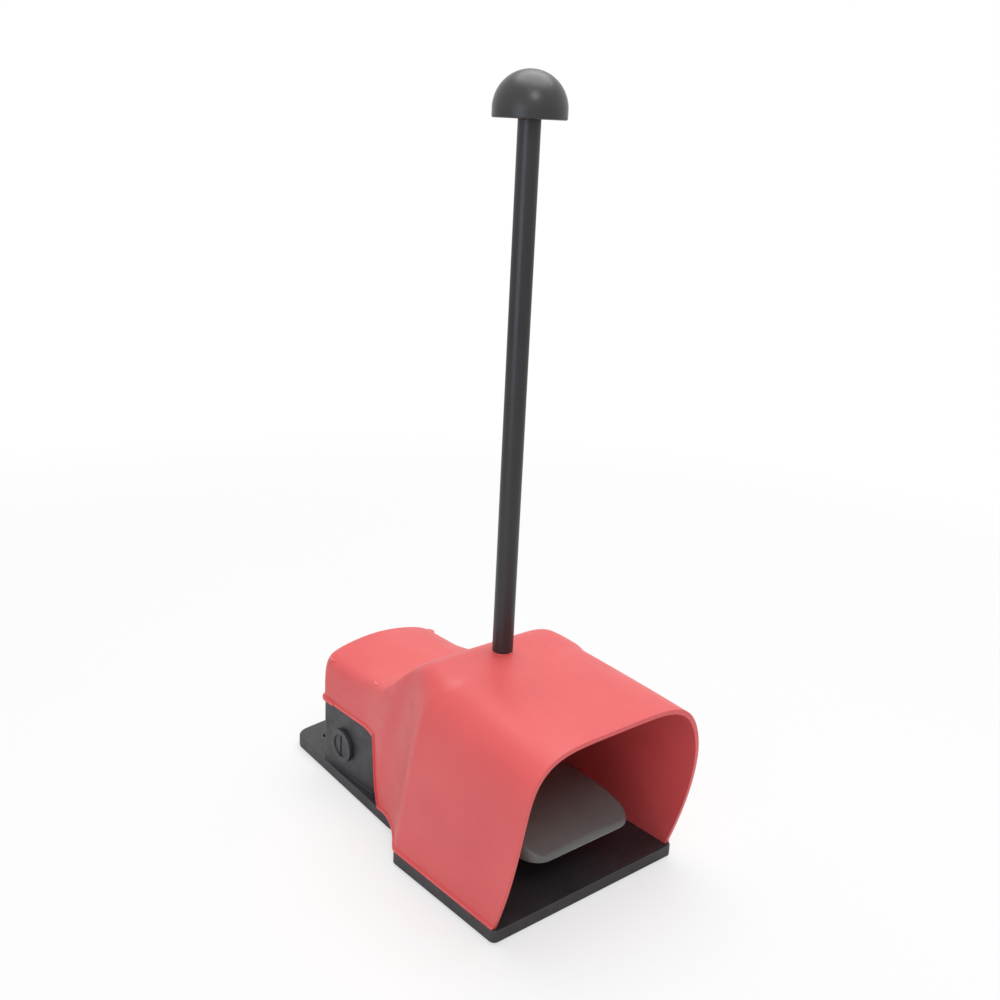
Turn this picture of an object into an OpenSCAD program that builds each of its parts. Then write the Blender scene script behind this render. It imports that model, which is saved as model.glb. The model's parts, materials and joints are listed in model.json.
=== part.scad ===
// Industrial foot switch with a full foot guard, a treadle pedal, two contact blocks and a carrying rod.
// +Z is up and the foot enters from -Y. The origin lies on the floor under the middle of the part.

/* [Base] */
// Width of the foot platform
base_w = 160; // [150:1:180]
// Length of the foot platform
platform_len = 107; // [100:1:112]
// Length of the base from the platform's front edge to the end of the fixing flange
base_len = 288; // [280:1:310]
// Thickness of the base plate
plate_t = 8.5; // [8:0.5:12]
// Width of the base's tail at its end
tail_end_w = 98; // [90:1:108]
// Radius of the tail's end corners
tail_r = 14; // [8:1:20]
// Radius of the platform's corners
platform_r = 4; // [2:0.5:8]
// Diameter of the two holes that fix the base to a floor
fixing_d = 6.5; // [5.5:0.5:8.5]
// Distance between those two holes
fixing_pitch = 60; // [50:1:66]

/* [Tub] */
// Width of the tub that holds the contacts
tub_w = 100; // [96:1:104]
// Height of the tub's walls above the base plate
tub_h = 48; // [44:1:56]
// Wall thickness of the tub
tub_t = 3.5; // [3:0.5:5]
// Distance from the platform's front edge to the tub's front wall
tub_from = 166.5; // [166:0.5:170]
// Distance from the platform's front edge to the tub's rear wall
tub_to = 241; // [236:1:248]
// Corner radius of the tub
tub_r = 7; // [6:0.5:12]
// Thickness of the gasket between tub and guard
gasket_t = 1.5; // [1:0.25:3]
// Core diameter of the threaded cable entry in the tub's rear wall
entry_d = 18.5; // [15:0.5:22]
// Diameter of the blanked side entry
plug_d = 20; // [16:0.5:24]

/* [Guard] */
// Wall thickness of the guard
guard_t = 3; // [2.5:0.25:4]
// Height of the hood's ridge above the floor
ridge_z = 139.5; // [130:0.5:160]
// Height of the hood's front rim above the floor
brow_z = 131; // [124:1:150]
// Height of the rear cover above the floor
cover_z = 100; // [92:1:110]
// How far the rear cover's roof curves down towards its sides
cover_sag = 8; // [0:0.5:10]
// How far the hood's rim leans out over the platform's front edge
rim_overhang = 17; // [10:1:24]
// Squareness of the hood's arch, where 2 is a half ellipse
hood_n = 5; // [3.5:0.25:7]
// Squareness of the rear cover's section
cover_n = 16; // [8:1:20]
// Radius of the rear cover's back edge
cover_r = 2; // [1.5:0.5:8]

/* [Pedal] */
// Width of the pedal at its nose
pedal_w = 90; // [80:1:100]
// Width of the pedal at its hinge
pedal_rear_w = 78; // [74:1:80]
// Corner radius of the pedal's nose
pedal_r = 12; // [6:1:18]
// Thickness of the pedal's skin
pedal_t = 3.5; // [2.5:0.25:5]
// Height of the pedal's lower edge above the base plate
pedal_h = 28; // [22:0.5:28]
// Height of the hinge above the base plate
hinge_h = 30; // [28:0.5:34]
// Distance from the platform's front edge to the hinge
hinge_from = 138; // [134:1:142]
// Diameter of the hinge pin
pin_d = 8; // [6:0.5:10]
// Angle that the pedal turns through when it is trodden down
pedal_travel = 7; // [4:0.5:8]
// Wire diameter of the return spring
spring_wire = 2.4; // [1.6:0.1:3]
// Outer diameter of the return spring
spring_d = 22; // [18:0.5:24]

/* [Contacts] */
// Width of a contact block
block_w = 25; // [24:0.5:27]
// Length of a contact block
block_len = 42; // [40:1:48]
// Height of a contact block
block_h = 26; // [24:0.5:32]
// Distance between the two plungers
plunger_pitch = 36; // [34:1:42]
// Diameter of a plunger's stem
plunger_d = 6; // [5:0.25:7]
// Height of the hinge above the plungers
arm_len = 18; // [16:0.5:19]

/* [Rod] */
// Diameter of the carrying rod
rod_d = 14; // [12:0.5:18]
// Length of the carrying rod between the hood and the knob
rod_len = 339.5; // [200:0.5:500]
// Distance from the platform's front edge to the rod
rod_from = 95.6; // [80:0.2:104]
// Thread diameter at both ends of the rod
rod_thread_d = 12; // [10:0.5:12]
// Diameter of the knob
knob_d = 45; // [36:1:60]
// Height of the straight band at the foot of the knob
knob_band = 5.5; // [3:0.5:10]

/* [Hidden] */
$fn = 48;

// Clearances: running fits, seats that touch, parts that stay apart, thread in its hole.
fit = 0.05;
seat = 0.3;
gap = 0.6;
thread_gap = 0.02;

// The plate, the seam of tub and guard, and the places along Y.
foot_proud = 1.5;
foot_r = 11;
foot_recess = 2;
plate_top = foot_proud + plate_t;
seam_z = plate_top + tub_h;
cover_seam_z = seam_z + gasket_t;
y_front = rim_overhang - (base_len + rim_overhang) / 2;
y_end = y_front + base_len;
tub_y0 = y_front + tub_from;
tub_y1 = y_front + tub_to;
cover_lip = 1;
cover_w = tub_w + 2 * cover_lip;
tail_bow = 3;
tail_straight = 35;
flange_mid = (tub_y1 + y_end) / 2;
foot_front = y_front + 2 * foot_r;
foot_rear = tub_y1 - tub_t - 30;
rib_t = 2.5;
pocket_pitch = 24;
pocket_skin = 4.5;

// The hinge, the pedal's levers and the plungers that they push.
hinge_y = y_front + hinge_from;
hinge_z = plate_top + hinge_h;
pin_r = pin_d / 2;
hub_r = pin_r + 5;
bush_t = 1.5;
bush_len = 14;
bush_flange_t = 1.4;
hub_half = pedal_rear_w / 2 + 1;
ear_in = hub_half + bush_flange_t + seat;
ear_t = 7;
ear_out = ear_in + ear_t;
clip_t = 1.2;
pin_end = 2;
pin_half = ear_out + seat + clip_t + pin_end;
arm_t = 10;
arm_face = hinge_y + arm_t / 2;
arm_half = 12;
paddle_h = 8;
plunger_r = plunger_d / 2;
plunger_z = hinge_z - arm_len;
plunger_x = plunger_pitch / 2;
paddle_half = plunger_x + plunger_r + 3;
plunger_travel = arm_len * tan(pedal_travel);
plunger_tip = arm_face + seat;

// The pedal's outline from the side, seen with the nose in front.
pedal_y0 = y_front + 5.5;
pedal_len = hinge_y - pedal_y0;
pedal_low = plate_top + pedal_h;
pedal_nose = pedal_low + 3.5;
pedal_crest = hinge_z + hub_r + 13;
pedal_rib_x = pedal_w / 2 - pedal_r - 5;

// Return spring and stop buffers between the plate and the pedal.
spring_y = hinge_y - 0.29 * pedal_len;
spring_turns = 6.5;
cup_t = 2.5;
cup_h = 5;
buffer_r = 7;
buffer_y = pedal_y0 + 0.47 * pedal_len;
buffer_drop = (hinge_y - buffer_y + buffer_r) * sin(pedal_travel);
buffer_top = pedal_low - buffer_drop - 2 * seat;

// Screws: shank and head radii, heads sunk in the plate from below.
screw_r = 2.5;
head_r = 4.25;
head_h = 5;
head_z = foot_proud + 0.5;
screw_bite = 12;
boss_r = screw_r + 3;
boss_x = tub_w / 2 - tub_t - boss_r + 1;
boss_y0 = tub_y0 + tub_t + boss_r - 1;
boss_y1 = tub_y1 - tub_t - boss_r + 1;
skirt_boss_x = base_w / 2 - guard_t - boss_r;
skirt_boss_back = 25;
skirt_boss_y = y_front + platform_len - skirt_boss_back;
skirt_boss_h = screw_bite + 5;

// Contact blocks on the tub's floor.
block_y0 = tub_y0 + tub_t + 1.5;
block_y1 = block_y0 + block_len;
pad_h = 4;
pad_r = 3.5;
block_z0 = plate_top + pad_h;
block_z1 = block_z0 + block_h;
block_t = 2.2;
front_t = 4;
lid_t = 2;
cavity_len = block_len - 17;
cavity_y0 = block_y0 + front_t;
cavity_y1 = block_y0 + front_t + cavity_len;
cavity_z0 = block_z0 + block_t;
lug_r = 5;
lug_h = 5;
block_screw_r = 1.6;
lug_x = block_w / 2 + 2 * block_screw_r + seat;
lug_y0 = block_y0 + 14;
lug_y1 = block_y1 - 6;
strip_t = 1;
bridge_half = block_w / 2 - block_t - 1.6;
bridge_h = 5;
tip_r = 1.8;
tip_t = 0.8;
carrier_half = 4.5;
carrier_y0 = cavity_y0 + 2;
carrier_len = 8;
bridge_y = carrier_y0 + 3;
contact_gap = plunger_travel + 0.1;
fixed_y = bridge_y + strip_t + 2 * tip_t + contact_gap;
strip_x = block_w / 2 - block_t;
riser_y = cavity_y1 - 5;
tab_len = 14;
tab_x = 4;
terminal_y = cavity_y1 + 5;
terminal_x = (strip_x + tab_x) / 2;
terminal_r = 1.5;
contact_spring_r = 2.7;
contact_wire = 0.6;

// Entries in the tub's walls.
entry_z = plate_top + 26;
entry_boss_r = entry_d / 2 + 5;
entry_boss_t = 4;
plug_y = tub_y1 - 31;
plug_z = plate_top + 23;
plug_r = plug_d / 2;
plug_flange_r = plug_r + 2.5;
plug_flange_t = 2.5;
plug_seal_t = 1;
plug_nut_t = 4;
plug_nut_r = plug_r + 3;
earth_x = -boss_x + 2 * boss_r;
earth_y = boss_y1;
earth_r = 2;
earth_pad_r = 5;

// The rod, its seat on the hood and what holds it below.
rod_y = y_front + rod_from;
rod_r = rod_d / 2;
rod_stud_r = rod_thread_d / 2;
rod_seat_z = ridge_z + 0.2;
rod_boss_h = 8;
rod_boss_r = rod_stud_r + 7;
washer_t = 2;
lock_washer_t = 2.4;
washer_z = rod_seat_z - rod_boss_h - washer_t;
lock_washer_z = washer_z - lock_washer_t;
nut_h = 8;
nut_z = lock_washer_z - nut_h;
stud_end_z = nut_z - 2;
knob_z = rod_seat_z + rod_len;
knob_r = knob_d / 2;
insert_r = rod_stud_r + 2.5;
insert_len = 15;
stud_len = 12;

// ---- Shapes that repeat --------------------------------------------------------------------------------

function mix(a, b, t) = a + (b - a) * t;
function clamp01(t) = min(max(t, 0), 1);
function ease(t) = let (c = clamp01(t)) c * c * (3 - 2 * c);

// Points of an arc about [x, y] from angle a0 to a1.
function arc(x, y, r, a0, a1, steps) =
    [for (i = [0 : steps]) let (a = mix(a0, a1, i / steps)) [x + r * cos(a), y + r * sin(a)]];

// A point of the cubic curve with the four poles p.
function curve(p, t) = pow(1 - t, 3) * p[0] + 3 * t * pow(1 - t, 2) * p[1]
    + 3 * t * t * (1 - t) * p[2] + pow(t, 3) * p[3];

module along_x(x0, x1) translate([x0, 0, 0]) rotate([90, 0, 90]) linear_extrude(x1 - x0) children();
module along_y(y0, y1) translate([0, y1, 0]) rotate([90, 0, 0]) linear_extrude(y1 - y0) children();
module both_sides() { children(); mirror([1, 0, 0]) children(); }

module rounded_rect(w, y0, y1, r) polygon(concat(
    arc(w / 2 - r, y0 + r, r, -90, 0, 8), arc(w / 2 - r, y1 - r, r, 0, 90, 8),
    arc(r - w / 2, y1 - r, r, 90, 180, 8), arc(r - w / 2, y0 + r, r, 180, 270, 8)));

module box(x0, x1, y0, y1, z0, z1) translate([x0, y0, z0]) cube([x1 - x0, y1 - y0, z1 - z0]);

module rod_x(x0, x1, r) translate([x0, 0, 0]) rotate([0, 90, 0]) cylinder(r = r, h = x1 - x0);
module rod_back(y0, y1, r) translate([0, y1, 0]) rotate([90, 0, 0]) cylinder(r = r, h = y1 - y0);

module washer(r, hole_r, h) difference() {
    cylinder(r = r, h = h);
    translate([0, 0, -1]) cylinder(r = hole_r, h = h + 2);
}

// A cap screw that stands on its head: head from z = 0 upwards, then the shank.
module cap_screw(len) {
    difference() {
        cylinder(r = head_r, h = head_h);
        translate([0, 0, -1]) cylinder(r = screw_r, h = 3.5, $fn = 6);
    }
    cylinder(r = screw_r, h = head_h + len);
}

// A slotted pan head screw whose head rests on z = 0 and whose shank points down.
module pan_screw(r, len) {
    difference() {
        cylinder(r1 = 2 * r, r2 = 1.7 * r, h = 1.3 * r);
        box(-3 * r, 3 * r, -0.25 * r, 0.25 * r, 0.7 * r, 2 * r);
    }
    translate([0, 0, -len]) cylinder(r = r, h = len);
}

// A round wire wound from z = 0 to z = h. Its first and last turn lie close, a little more than a wire apart.
module coil_spring(outer_r, wire_r, h, turns, steps, sides) {
    mean_r = outer_r - wire_r;
    n = turns * steps;
    close_pitch = 2.2 * wire_r;
    open_pitch = (h - 2 * wire_r - 2 * close_pitch) / (turns - 2);
    function rise(t) = close_pitch * (min(t, 1) + max(t - turns + 1, 0))
        + open_pitch * min(max(t - 1, 0), turns - 2);
    points = [for (i = [0 : n]) let (a = 360 * i / steps, z = wire_r + rise(i / steps))
        for (j = [0 : sides - 1]) let (b = 360 * j / sides, r = mean_r + wire_r * cos(b))
            [r * cos(a), r * sin(a), z + wire_r * sin(b)]];
    skin = [for (i = [0 : n - 1], j = [0 : sides - 1]) let (k = (j + 1) % sides)
        each [[i * sides + j, (i + 1) * sides + j, (i + 1) * sides + k],
              [i * sides + j, (i + 1) * sides + k, i * sides + k]]];
    ends = [[for (j = [0 : sides - 1]) j], [for (j = [sides - 1 : -1 : 0]) n * sides + j]];
    polyhedron(points, concat(skin, ends));
}

// ---- The guard's surface -------------------------------------------------------------------------------
// The guard is lofted through arches. A station is an arch's distance from the platform's front edge at
// plate level. k is the relative height on the arch, 0 at plate level and 1 at the crown.

arch_side = 8;
arch_top = 8;
draft = 0.025;
rim_draft = -0.008;
lip_w = 1.2;
lip_h = 2.2;
skirt_inset = lip_w + 0.3;
rim_station = 3;
neck_station = 150;
neck_lean = rim_overhang + rim_station + 6;
skirt_end = 155;
cover_station = 172;
narrow_from = 158;
narrow_to = 184;
square_from = 99;
flare_n = 1.7;
pin_room = 2.3;
neck_w = 2 * (pin_half + guard_t + pin_room);
tail_w = neck_w + 2 * lip_w;
ridge_from = 103.5;
brow_n = 1.23;
cover_level_from = 170;
upright_from = 185;
sag_to = 205;

function fall(s) = pow(1 - clamp01((s - platform_len) / (neck_station - platform_len)), flare_n);
function soft_fall(s) = (fall(s - 3) + fall(s - 1) + fall(s + 1) + fall(s + 3)) / 4;
function half_w(s) = mix(mix(neck_w, cover_w, ease((s - narrow_from) / (narrow_to - narrow_from))),
    base_w - 2 * skirt_inset, soft_fall(s)) / 2;
function arch_n(s) = mix(hood_n, cover_n, ease((s - square_from) / (skirt_end - square_from)));
function bottom_z(s) = mix(plate_top, cover_seam_z, clamp01((s - skirt_end) / (cover_station - skirt_end)));

function full_lean(s) = s < neck_station
    ? mix(rim_overhang + rim_station, neck_lean, s / neck_station)
    : neck_lean * (1 - ease((s - neck_station) / (upright_from - neck_station)));
function lean(s, k) = full_lean(s)
    * mix(1 - pow(1 - min(k / 0.75, 1), 1.7), pow(k, 1.5), clamp01(s / neck_station));

// Height of the crown above the point that lies y behind the platform's front edge.
function crown(y) = y < ridge_from
    ? ridge_z - (ridge_z - brow_z) * pow((ridge_from - y) / (ridge_from + rim_overhang), brow_n)
    : mix(ridge_z, cover_z, ease((y - ridge_from) / (cover_level_from - ridge_from)));
function crown_at(s) = crown(s - full_lean(s));

function side_draft(s) = mix(rim_draft, draft, ease(s / neck_station));
function sag(s) = cover_sag * ease((s - narrow_from) / (sag_to - narrow_from));
function arch_z(s, top, u, k) =
    plate_top + k * (top - plate_top) - sag(s) * pow(u, 2) * ease((k - 0.65) / 0.3);
function surface_point(s, w, top, u, k) =
    [w * u * (1 - side_draft(s) * k), y_front + s - lean(s, k), arch_z(s, top, u, k)];

// Right half of an arch from its foot to its crown, moved in at the side and down at the crown. The
// outside has a small lip at its foot.
function half_arch(s, in_side, in_top) =
    let (n = arch_n(s), w = half_w(s) - in_side, top = crown_at(s) - in_top, h = top - plate_top,
        kc = pow(0.5, 1 / n), k0 = (bottom_z(s) - plate_top) / h, kl = k0 + lip_h / h,
        lip = in_side == 0 ? lip_w : 0)
    concat(
        [for (k = [k0, mix(k0, kl, in_side == 0 ? 0.8 : 0.4)])
            surface_point(s, w + lip, top, pow(1 - pow(k, n), 1 / n), k)],
        [for (i = [0 : arch_side - 1]) let (k = kl + (kc - kl) * sin(90 * i / arch_side))
            surface_point(s, w, top, pow(1 - pow(k, n), 1 / n), k)],
        [for (j = [0 : arch_top]) let (u = kc * sin(90 * (1 - j / arch_top)))
            surface_point(s, w, top, u, pow(1 - pow(u, n), 1 / n))]);

function arch(s, in_side, in_top) = let (h = half_arch(s, in_side, in_top), n = len(h))
    concat([for (p = h) [-p[0], p[1], p[2]]], [for (i = [n - 2 : -1 : 0]) h[i]]);

corner_r = tub_r + cover_lip;
back_from = tub_to + cover_lip - corner_r;
stations = concat(
    [for (i = [0 : 7]) mix(rim_station, platform_len - 7, i / 8)],
    [for (i = [0 : 11]) mix(platform_len - 7, skirt_end, i / 12)],
    [for (i = [0 : 6]) mix(skirt_end, cover_station, i / 7)],
    [for (i = [0 : 5]) mix(cover_station, back_from, i / 5)]);
back_steps = 7;

// How far a round edge of radius r has fallen back where d of it is left.
function rounded_in(r, d) = d >= r ? 0 : r - sqrt(r * r - pow(r - d, 2));

// All arches of one side of the wall; t is 0 for the outside and the wall's thickness for the inside.
// The last ones round the cover's back corners in plan and the back edge of its roof.
function wall_rows(t) =
    let (back = tub_to + cover_lip - t, r = max(corner_r - t, 2), edge_r = max(cover_r - t, 1))
    concat(
        [for (s = stations) arch(s, t, t)],
        [for (i = [1 : back_steps])
            let (a = 90 * i / back_steps, left = (back - back_from) * (1 - sin(a)))
            arch(back - left, t + rounded_in(r, min(left, r)), t + rounded_in(edge_r, min(left, edge_r)))]);

module guard_shell() {
    outer = wall_rows(0);
    inner = wall_rows(guard_t);
    rows = len(outer);
    m = len(outer[0]);
    last = (rows - 1) * m;
    in0 = rows * m;
    points = concat([for (r = outer) each r], [for (r = inner) each r]);
    outside = [for (i = [0 : rows - 2], j = [0 : m - 2]) let (a = i * m + j, b = a + m)
        each [[a, b, b + 1], [a, b + 1, a + 1]]];
    inside = [for (i = [0 : rows - 2], j = [0 : m - 2]) let (a = in0 + i * m + j, b = a + m)
        each [[a, b + 1, b], [a, a + 1, b + 1]]];
    rim = [for (j = [0 : m - 2]) each [[j, j + 1, in0 + j + 1], [j, in0 + j + 1, in0 + j]]];
    foot_left = [for (i = [0 : rows - 2]) let (a = i * m, b = a + m)
        each [[a, in0 + a, in0 + b], [a, in0 + b, b]]];
    foot_right = [for (i = [0 : rows - 2]) let (a = i * m + m - 1, b = a + m)
        each [[a, in0 + b, in0 + a], [a, b, in0 + b]]];
    half = (m - 1) / 2;
    end = in0 + last;
    back = concat(
        [for (j = [0 : half - 2]) [last + j, last + j + 1, last + m - 2 - j, last + m - 1 - j]],
        [for (j = [0 : half - 2]) [end + j, end + m - 1 - j, end + m - 2 - j, end + j + 1]],
        [[last + half - 1, last + half, last + half + 1], [end + half - 1, end + half + 1, end + half],
            [last, end, end + m - 1, last + m - 1]]);
    polyhedron(points, concat(outside, inside, rim, foot_left, foot_right, back), convexity = 6);
}

// Station of the arch that passes through height k at the place y behind the platform's front edge.
function station_at(y, k, s, i) = i == 0 ? s : station_at(y, k, y + lean(s, k), i - 1);

// Outline of the guard in the plane y, moved inwards by inset.
function plane_half(y, inset, steps) = [for (i = [0 : steps])
    let (a = 90 * i / steps, n = arch_n(y), u = pow(cos(a), 2 / n), k = pow(sin(a), 2 / n),
        s = station_at(y, k, y, 16))
    [(half_w(s) - inset) * u * (1 - side_draft(s) * k), arch_z(s, crown_at(s) - inset, u, k)]];

// Height of the guard's roof over the point [x, y], moved inwards by inset.
function roof_u(x, s, inset) = min(abs(x) / (half_w(s) - inset), 1);
function roof_k(x, s, inset) = let (n = arch_n(s)) pow(1 - pow(roof_u(x, s, inset), n), 1 / n);
function roof_station(x, y, inset, s, i) = i == 0 ? s
    : roof_station(x, y, inset, y + lean(s, roof_k(x, s, inset)), i - 1);
function roof_z(x, y, inset) = let (s = roof_station(x, y, inset, y, 16))
    arch_z(s, crown_at(s) - inset, roof_u(x, s, inset), roof_k(x, s, inset));

// ---- Base ----------------------------------------------------------------------------------------------

module tail_plan() polygon(concat(
    [[-tail_w / 2, y_front + platform_len - 10], [tail_w / 2, y_front + platform_len - 10]],
    [[tail_w / 2, y_front + platform_len + tail_straight]],
    arc(tail_end_w / 2 - tail_r, y_end - tail_bow - tail_r, tail_r, 0, 80, 8),
    [for (i = [4 : -1 : -4]) [i / 5 * (tail_end_w / 2 - tail_r), y_end - tail_bow * pow(i / 5, 2)]],
    arc(tail_r - tail_end_w / 2, y_end - tail_bow - tail_r, tail_r, 100, 180, 8),
    [[-tail_w / 2, y_front + platform_len + tail_straight]]));

module ear() along_x(ear_in, ear_out) {
    translate([hinge_y, hinge_z]) circle(r = hub_r);
    polygon([[hinge_y - hub_r - 5, plate_top - 1], [hinge_y + hub_r + 5, plate_top - 1],
        [hinge_y + hub_r, hinge_z], [hinge_y - hub_r, hinge_z]]);
}

module at_boss_corners() for (x = [-boss_x, boss_x], y = [boss_y0, boss_y1]) translate([x, y, 0]) children();
module at_skirt_bosses() for (x = [-skirt_boss_x, skirt_boss_x]) translate([x, skirt_boss_y, 0]) children();
module at_blocks() for (x = [-plunger_x, plunger_x]) translate([x, 0, 0]) children();
module at_block_screws() for (p = [[-1, lug_y0], [1, lug_y1]])
    translate([p[0] * lug_x, p[1], 0]) children();

// Pockets in the underside that leave a skin and a lattice of ribs.
module at_pockets() {
    for (x = [-1.5 : 1 : 1.5], y = [0 : 3]) translate([x * pocket_pitch, y_front + pocket_pitch / 2 + rib_t
        + y * pocket_pitch, 0]) children();
    for (x = [-0.5, 0.5], y = [4 : 7]) translate([x * pocket_pitch, y_front + pocket_pitch / 2 + rib_t
        + y * pocket_pitch, 0]) children();
}

module base_housing() color("#2c2c2f") difference() {
    union() {
        translate([0, 0, foot_proud]) linear_extrude(plate_t) {
            rounded_rect(base_w, y_front, y_front + platform_len, platform_r);
            tail_plan();
        }
        translate([0, 0, plate_top - 1]) linear_extrude(tub_h + 1) difference() {
            rounded_rect(tub_w, tub_y0, tub_y1, tub_r);
            rounded_rect(tub_w - 2 * tub_t, tub_y0 + tub_t, tub_y1 - tub_t, tub_r - tub_t);
        }
        at_boss_corners() translate([0, 0, plate_top - 1]) cylinder(r = boss_r, h = tub_h + 1);
        both_sides() ear();
        translate([0, spring_y, plate_top - 1])
            washer(spring_d / 2 + gap + cup_t, spring_d / 2 + gap, cup_h + 1);
        for (x = [-1, 1]) translate([x * pedal_rib_x, buffer_y, plate_top - 1])
            washer(buffer_r + 3, buffer_r, 4);
        box(-paddle_half, paddle_half, hinge_y - arm_t / 2 - seat - 5, hinge_y - arm_t / 2 - seat,
            plate_top - 1, plunger_z + paddle_h / 2);
        at_blocks() at_block_screws() translate([0, 0, plate_top - 1]) cylinder(r = pad_r, h = pad_h + 1);
        at_blocks() box(-block_w / 2, block_w / 2, block_y0, block_y0 + 8, plate_top - 1, block_z0);
        translate([earth_x, earth_y, plate_top - 1]) cylinder(r = earth_pad_r, h = pad_h + 1);
        translate([0, 0, entry_z])
            rod_back(tub_y1 - tub_t - entry_boss_t, tub_y1 + entry_boss_t, entry_boss_r);
        at_blocks() translate([0, 0, plunger_z]) rod_back(tub_y0 - 3, tub_y0 + 1, plunger_r + 5);
    }
    translate([0, hinge_y, hinge_z]) rod_x(-ear_out - 1, ear_out + 1, pin_r + fit);
    translate([0, 0, entry_z]) rod_back(tub_y1 - 20, tub_y1 + 20, entry_d / 2);
    translate([0, plug_y, plug_z]) rod_x(-tub_w / 2 - 1, -tub_w / 2 + tub_t + 1, plug_r + fit);
    at_blocks() translate([0, 0, plunger_z]) rod_back(tub_y0 - 10, tub_y0 + tub_t + 1, plunger_r + 2.5);
    at_boss_corners() {
        translate([0, 0, -1]) cylinder(r = screw_r + 0.3, h = seam_z + 2);
        translate([0, 0, -1]) cylinder(r = head_r + 0.4, h = head_z + head_h + 1);
    }
    at_skirt_bosses() {
        translate([0, 0, -1]) cylinder(r = screw_r + 0.3, h = plate_top + 2);
        translate([0, 0, -1]) cylinder(r = head_r + 0.4, h = head_z + head_h + 1);
    }
    at_blocks() at_block_screws() translate([0, 0, plate_top - 3])
        cylinder(r = block_screw_r + thread_gap, h = 9);
    translate([earth_x, earth_y, plate_top - 4]) cylinder(r = earth_r + thread_gap, h = 10);
    at_feet() cylinder(r = foot_r + fit, h = foot_proud + foot_recess);
    at_pockets() linear_extrude(plate_top - pocket_skin)
        rounded_rect(pocket_pitch - rib_t, rib_t - pocket_pitch / 2, pocket_pitch / 2 - rib_t, 2);
    for (x = [-1, 1]) translate([x * fixing_pitch / 2, flange_mid, -1])
        cylinder(r = fixing_d / 2, h = plate_top + 2);
}

module at_feet() {
    for (x = [-1, 1]) {
        translate([x * (base_w / 2 - 1.6 * foot_r), foot_front, 0]) children();
        translate([x * (boss_x - foot_r), foot_rear, 0]) children();
    }
}

module rubber_feet() color("#161616") at_feet() {
    cylinder(r1 = foot_r - 1, r2 = foot_r, h = foot_proud);
    translate([0, 0, foot_proud]) cylinder(r = foot_r, h = foot_recess);
}

module cover_gasket() color("#1b1b1b") translate([0, 0, seam_z]) linear_extrude(gasket_t) difference() {
    rounded_rect(tub_w, tub_y0, tub_y1, tub_r);
    rounded_rect(tub_w - 2 * tub_t, tub_y0 + tub_t, tub_y1 - tub_t, tub_r - tub_t);
}

// ---- Guard ---------------------------------------------------------------------------------------------

module guard_cover() color("#e06466") difference() {
    union() {
        guard_shell();
        cover_lip_ring();
        along_y(tub_y0, tub_y0 + guard_t) bulkhead_plan();
        for (x = [-boss_x, boss_x], y = [boss_y0, boss_y1]) cover_boss(x, y);
        at_skirt_bosses() translate([0, 0, plate_top]) cylinder(r = boss_r, h = skirt_boss_h);
        translate([0, rod_y, rod_seat_z - rod_boss_h]) {
            cylinder(r = rod_boss_r, h = rod_boss_h - guard_t / 2);
            cylinder(r = rod_r + 0.5, h = rod_boss_h);
        }
    }
    at_boss_corners() translate([0, 0, cover_seam_z - 1])
        cylinder(r = screw_r + thread_gap, h = screw_bite + 4);
    at_skirt_bosses() translate([0, 0, plate_top - 1])
        cylinder(r = screw_r + thread_gap, h = screw_bite + 3);
    translate([0, rod_y, rod_seat_z - rod_boss_h - 1])
        cylinder(r = rod_stud_r + fit, h = rod_boss_h + 2);
}

// The lip goes on round the back of the rear cover.
module cover_lip_ring() {
    lip = cover_lip + lip_w - 0.05;
    translate([0, 0, cover_seam_z]) linear_extrude(0.8 * lip_h - 0.05) intersection() {
        difference() {
            rounded_rect(tub_w + 2 * lip, tub_y0 - lip, tub_y1 + lip, tub_r + lip);
            rounded_rect(tub_w - 2 * tub_t + 2, tub_y0, tub_y1 - tub_t + 1, tub_r - tub_t + 1);
        }
        translate([-tub_w, tub_y1 - tub_r - 10]) square([2 * tub_w, 2 * tub_r + 10]);
    }
}

// The wall inside the guard that closes the tub's chamber towards the foot.
module bulkhead_plan() intersection() {
    half = plane_half(tub_y0 - y_front + guard_t / 2, guard_t / 2, 20);
    polygon(concat(half, [for (i = [len(half) - 2 : -1 : 0]) [-half[i][0], half[i][1]]]));
    translate([-base_w / 2, cover_seam_z]) square([base_w, ridge_z]);
}

// A screw boss from the seam up into the roof of the rear cover, with a web to the side wall.
module cover_boss(x, y) {
    d = 0.8 * boss_r;
    top = min([for (i = [-d, d], j = [-d, d]) roof_z(x + i, y + j - y_front, guard_t / 2)]);
    side = sign(x) * (cover_w / 2 - guard_t);
    translate([x, y, cover_seam_z]) cylinder(r = boss_r, h = top - cover_seam_z);
    box(min(x, side), max(x, side), y - guard_t / 2, y + guard_t / 2,
        cover_seam_z, cover_z - cover_sag - 3 * guard_t);
}

module long_cover_screws() color("#9a9da1") at_boss_corners() translate([0, 0, head_z])
    cap_screw(cover_seam_z + screw_bite - head_z - head_h);

module short_cover_screws() color("#9a9da1") at_skirt_bosses() translate([0, 0, head_z])
    cap_screw(plate_top + screw_bite - head_z - head_h);

// ---- Pedal ---------------------------------------------------------------------------------------------

// The pedal's top from the nose, over the crest under the toes, down to the hub.
function pedal_top(inset) = let (poles = [[pedal_y0 + inset, pedal_nose - 0.6 * inset],
        [pedal_y0 + 16, mix(pedal_nose, pedal_crest, 0.45) - inset],
        [pedal_y0 + 34, pedal_crest - inset], [hinge_y, hinge_z + hub_r - inset]])
    [for (i = [0 : 16]) curve(poles, i / 16)];

module pedal_side(inset) polygon(concat(
    [[hinge_y, pedal_low + 4 - 20 * min(inset, 1)], [pedal_y0 + inset, pedal_low - 20 * min(inset, 1)]],
    pedal_top(inset)));

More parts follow.
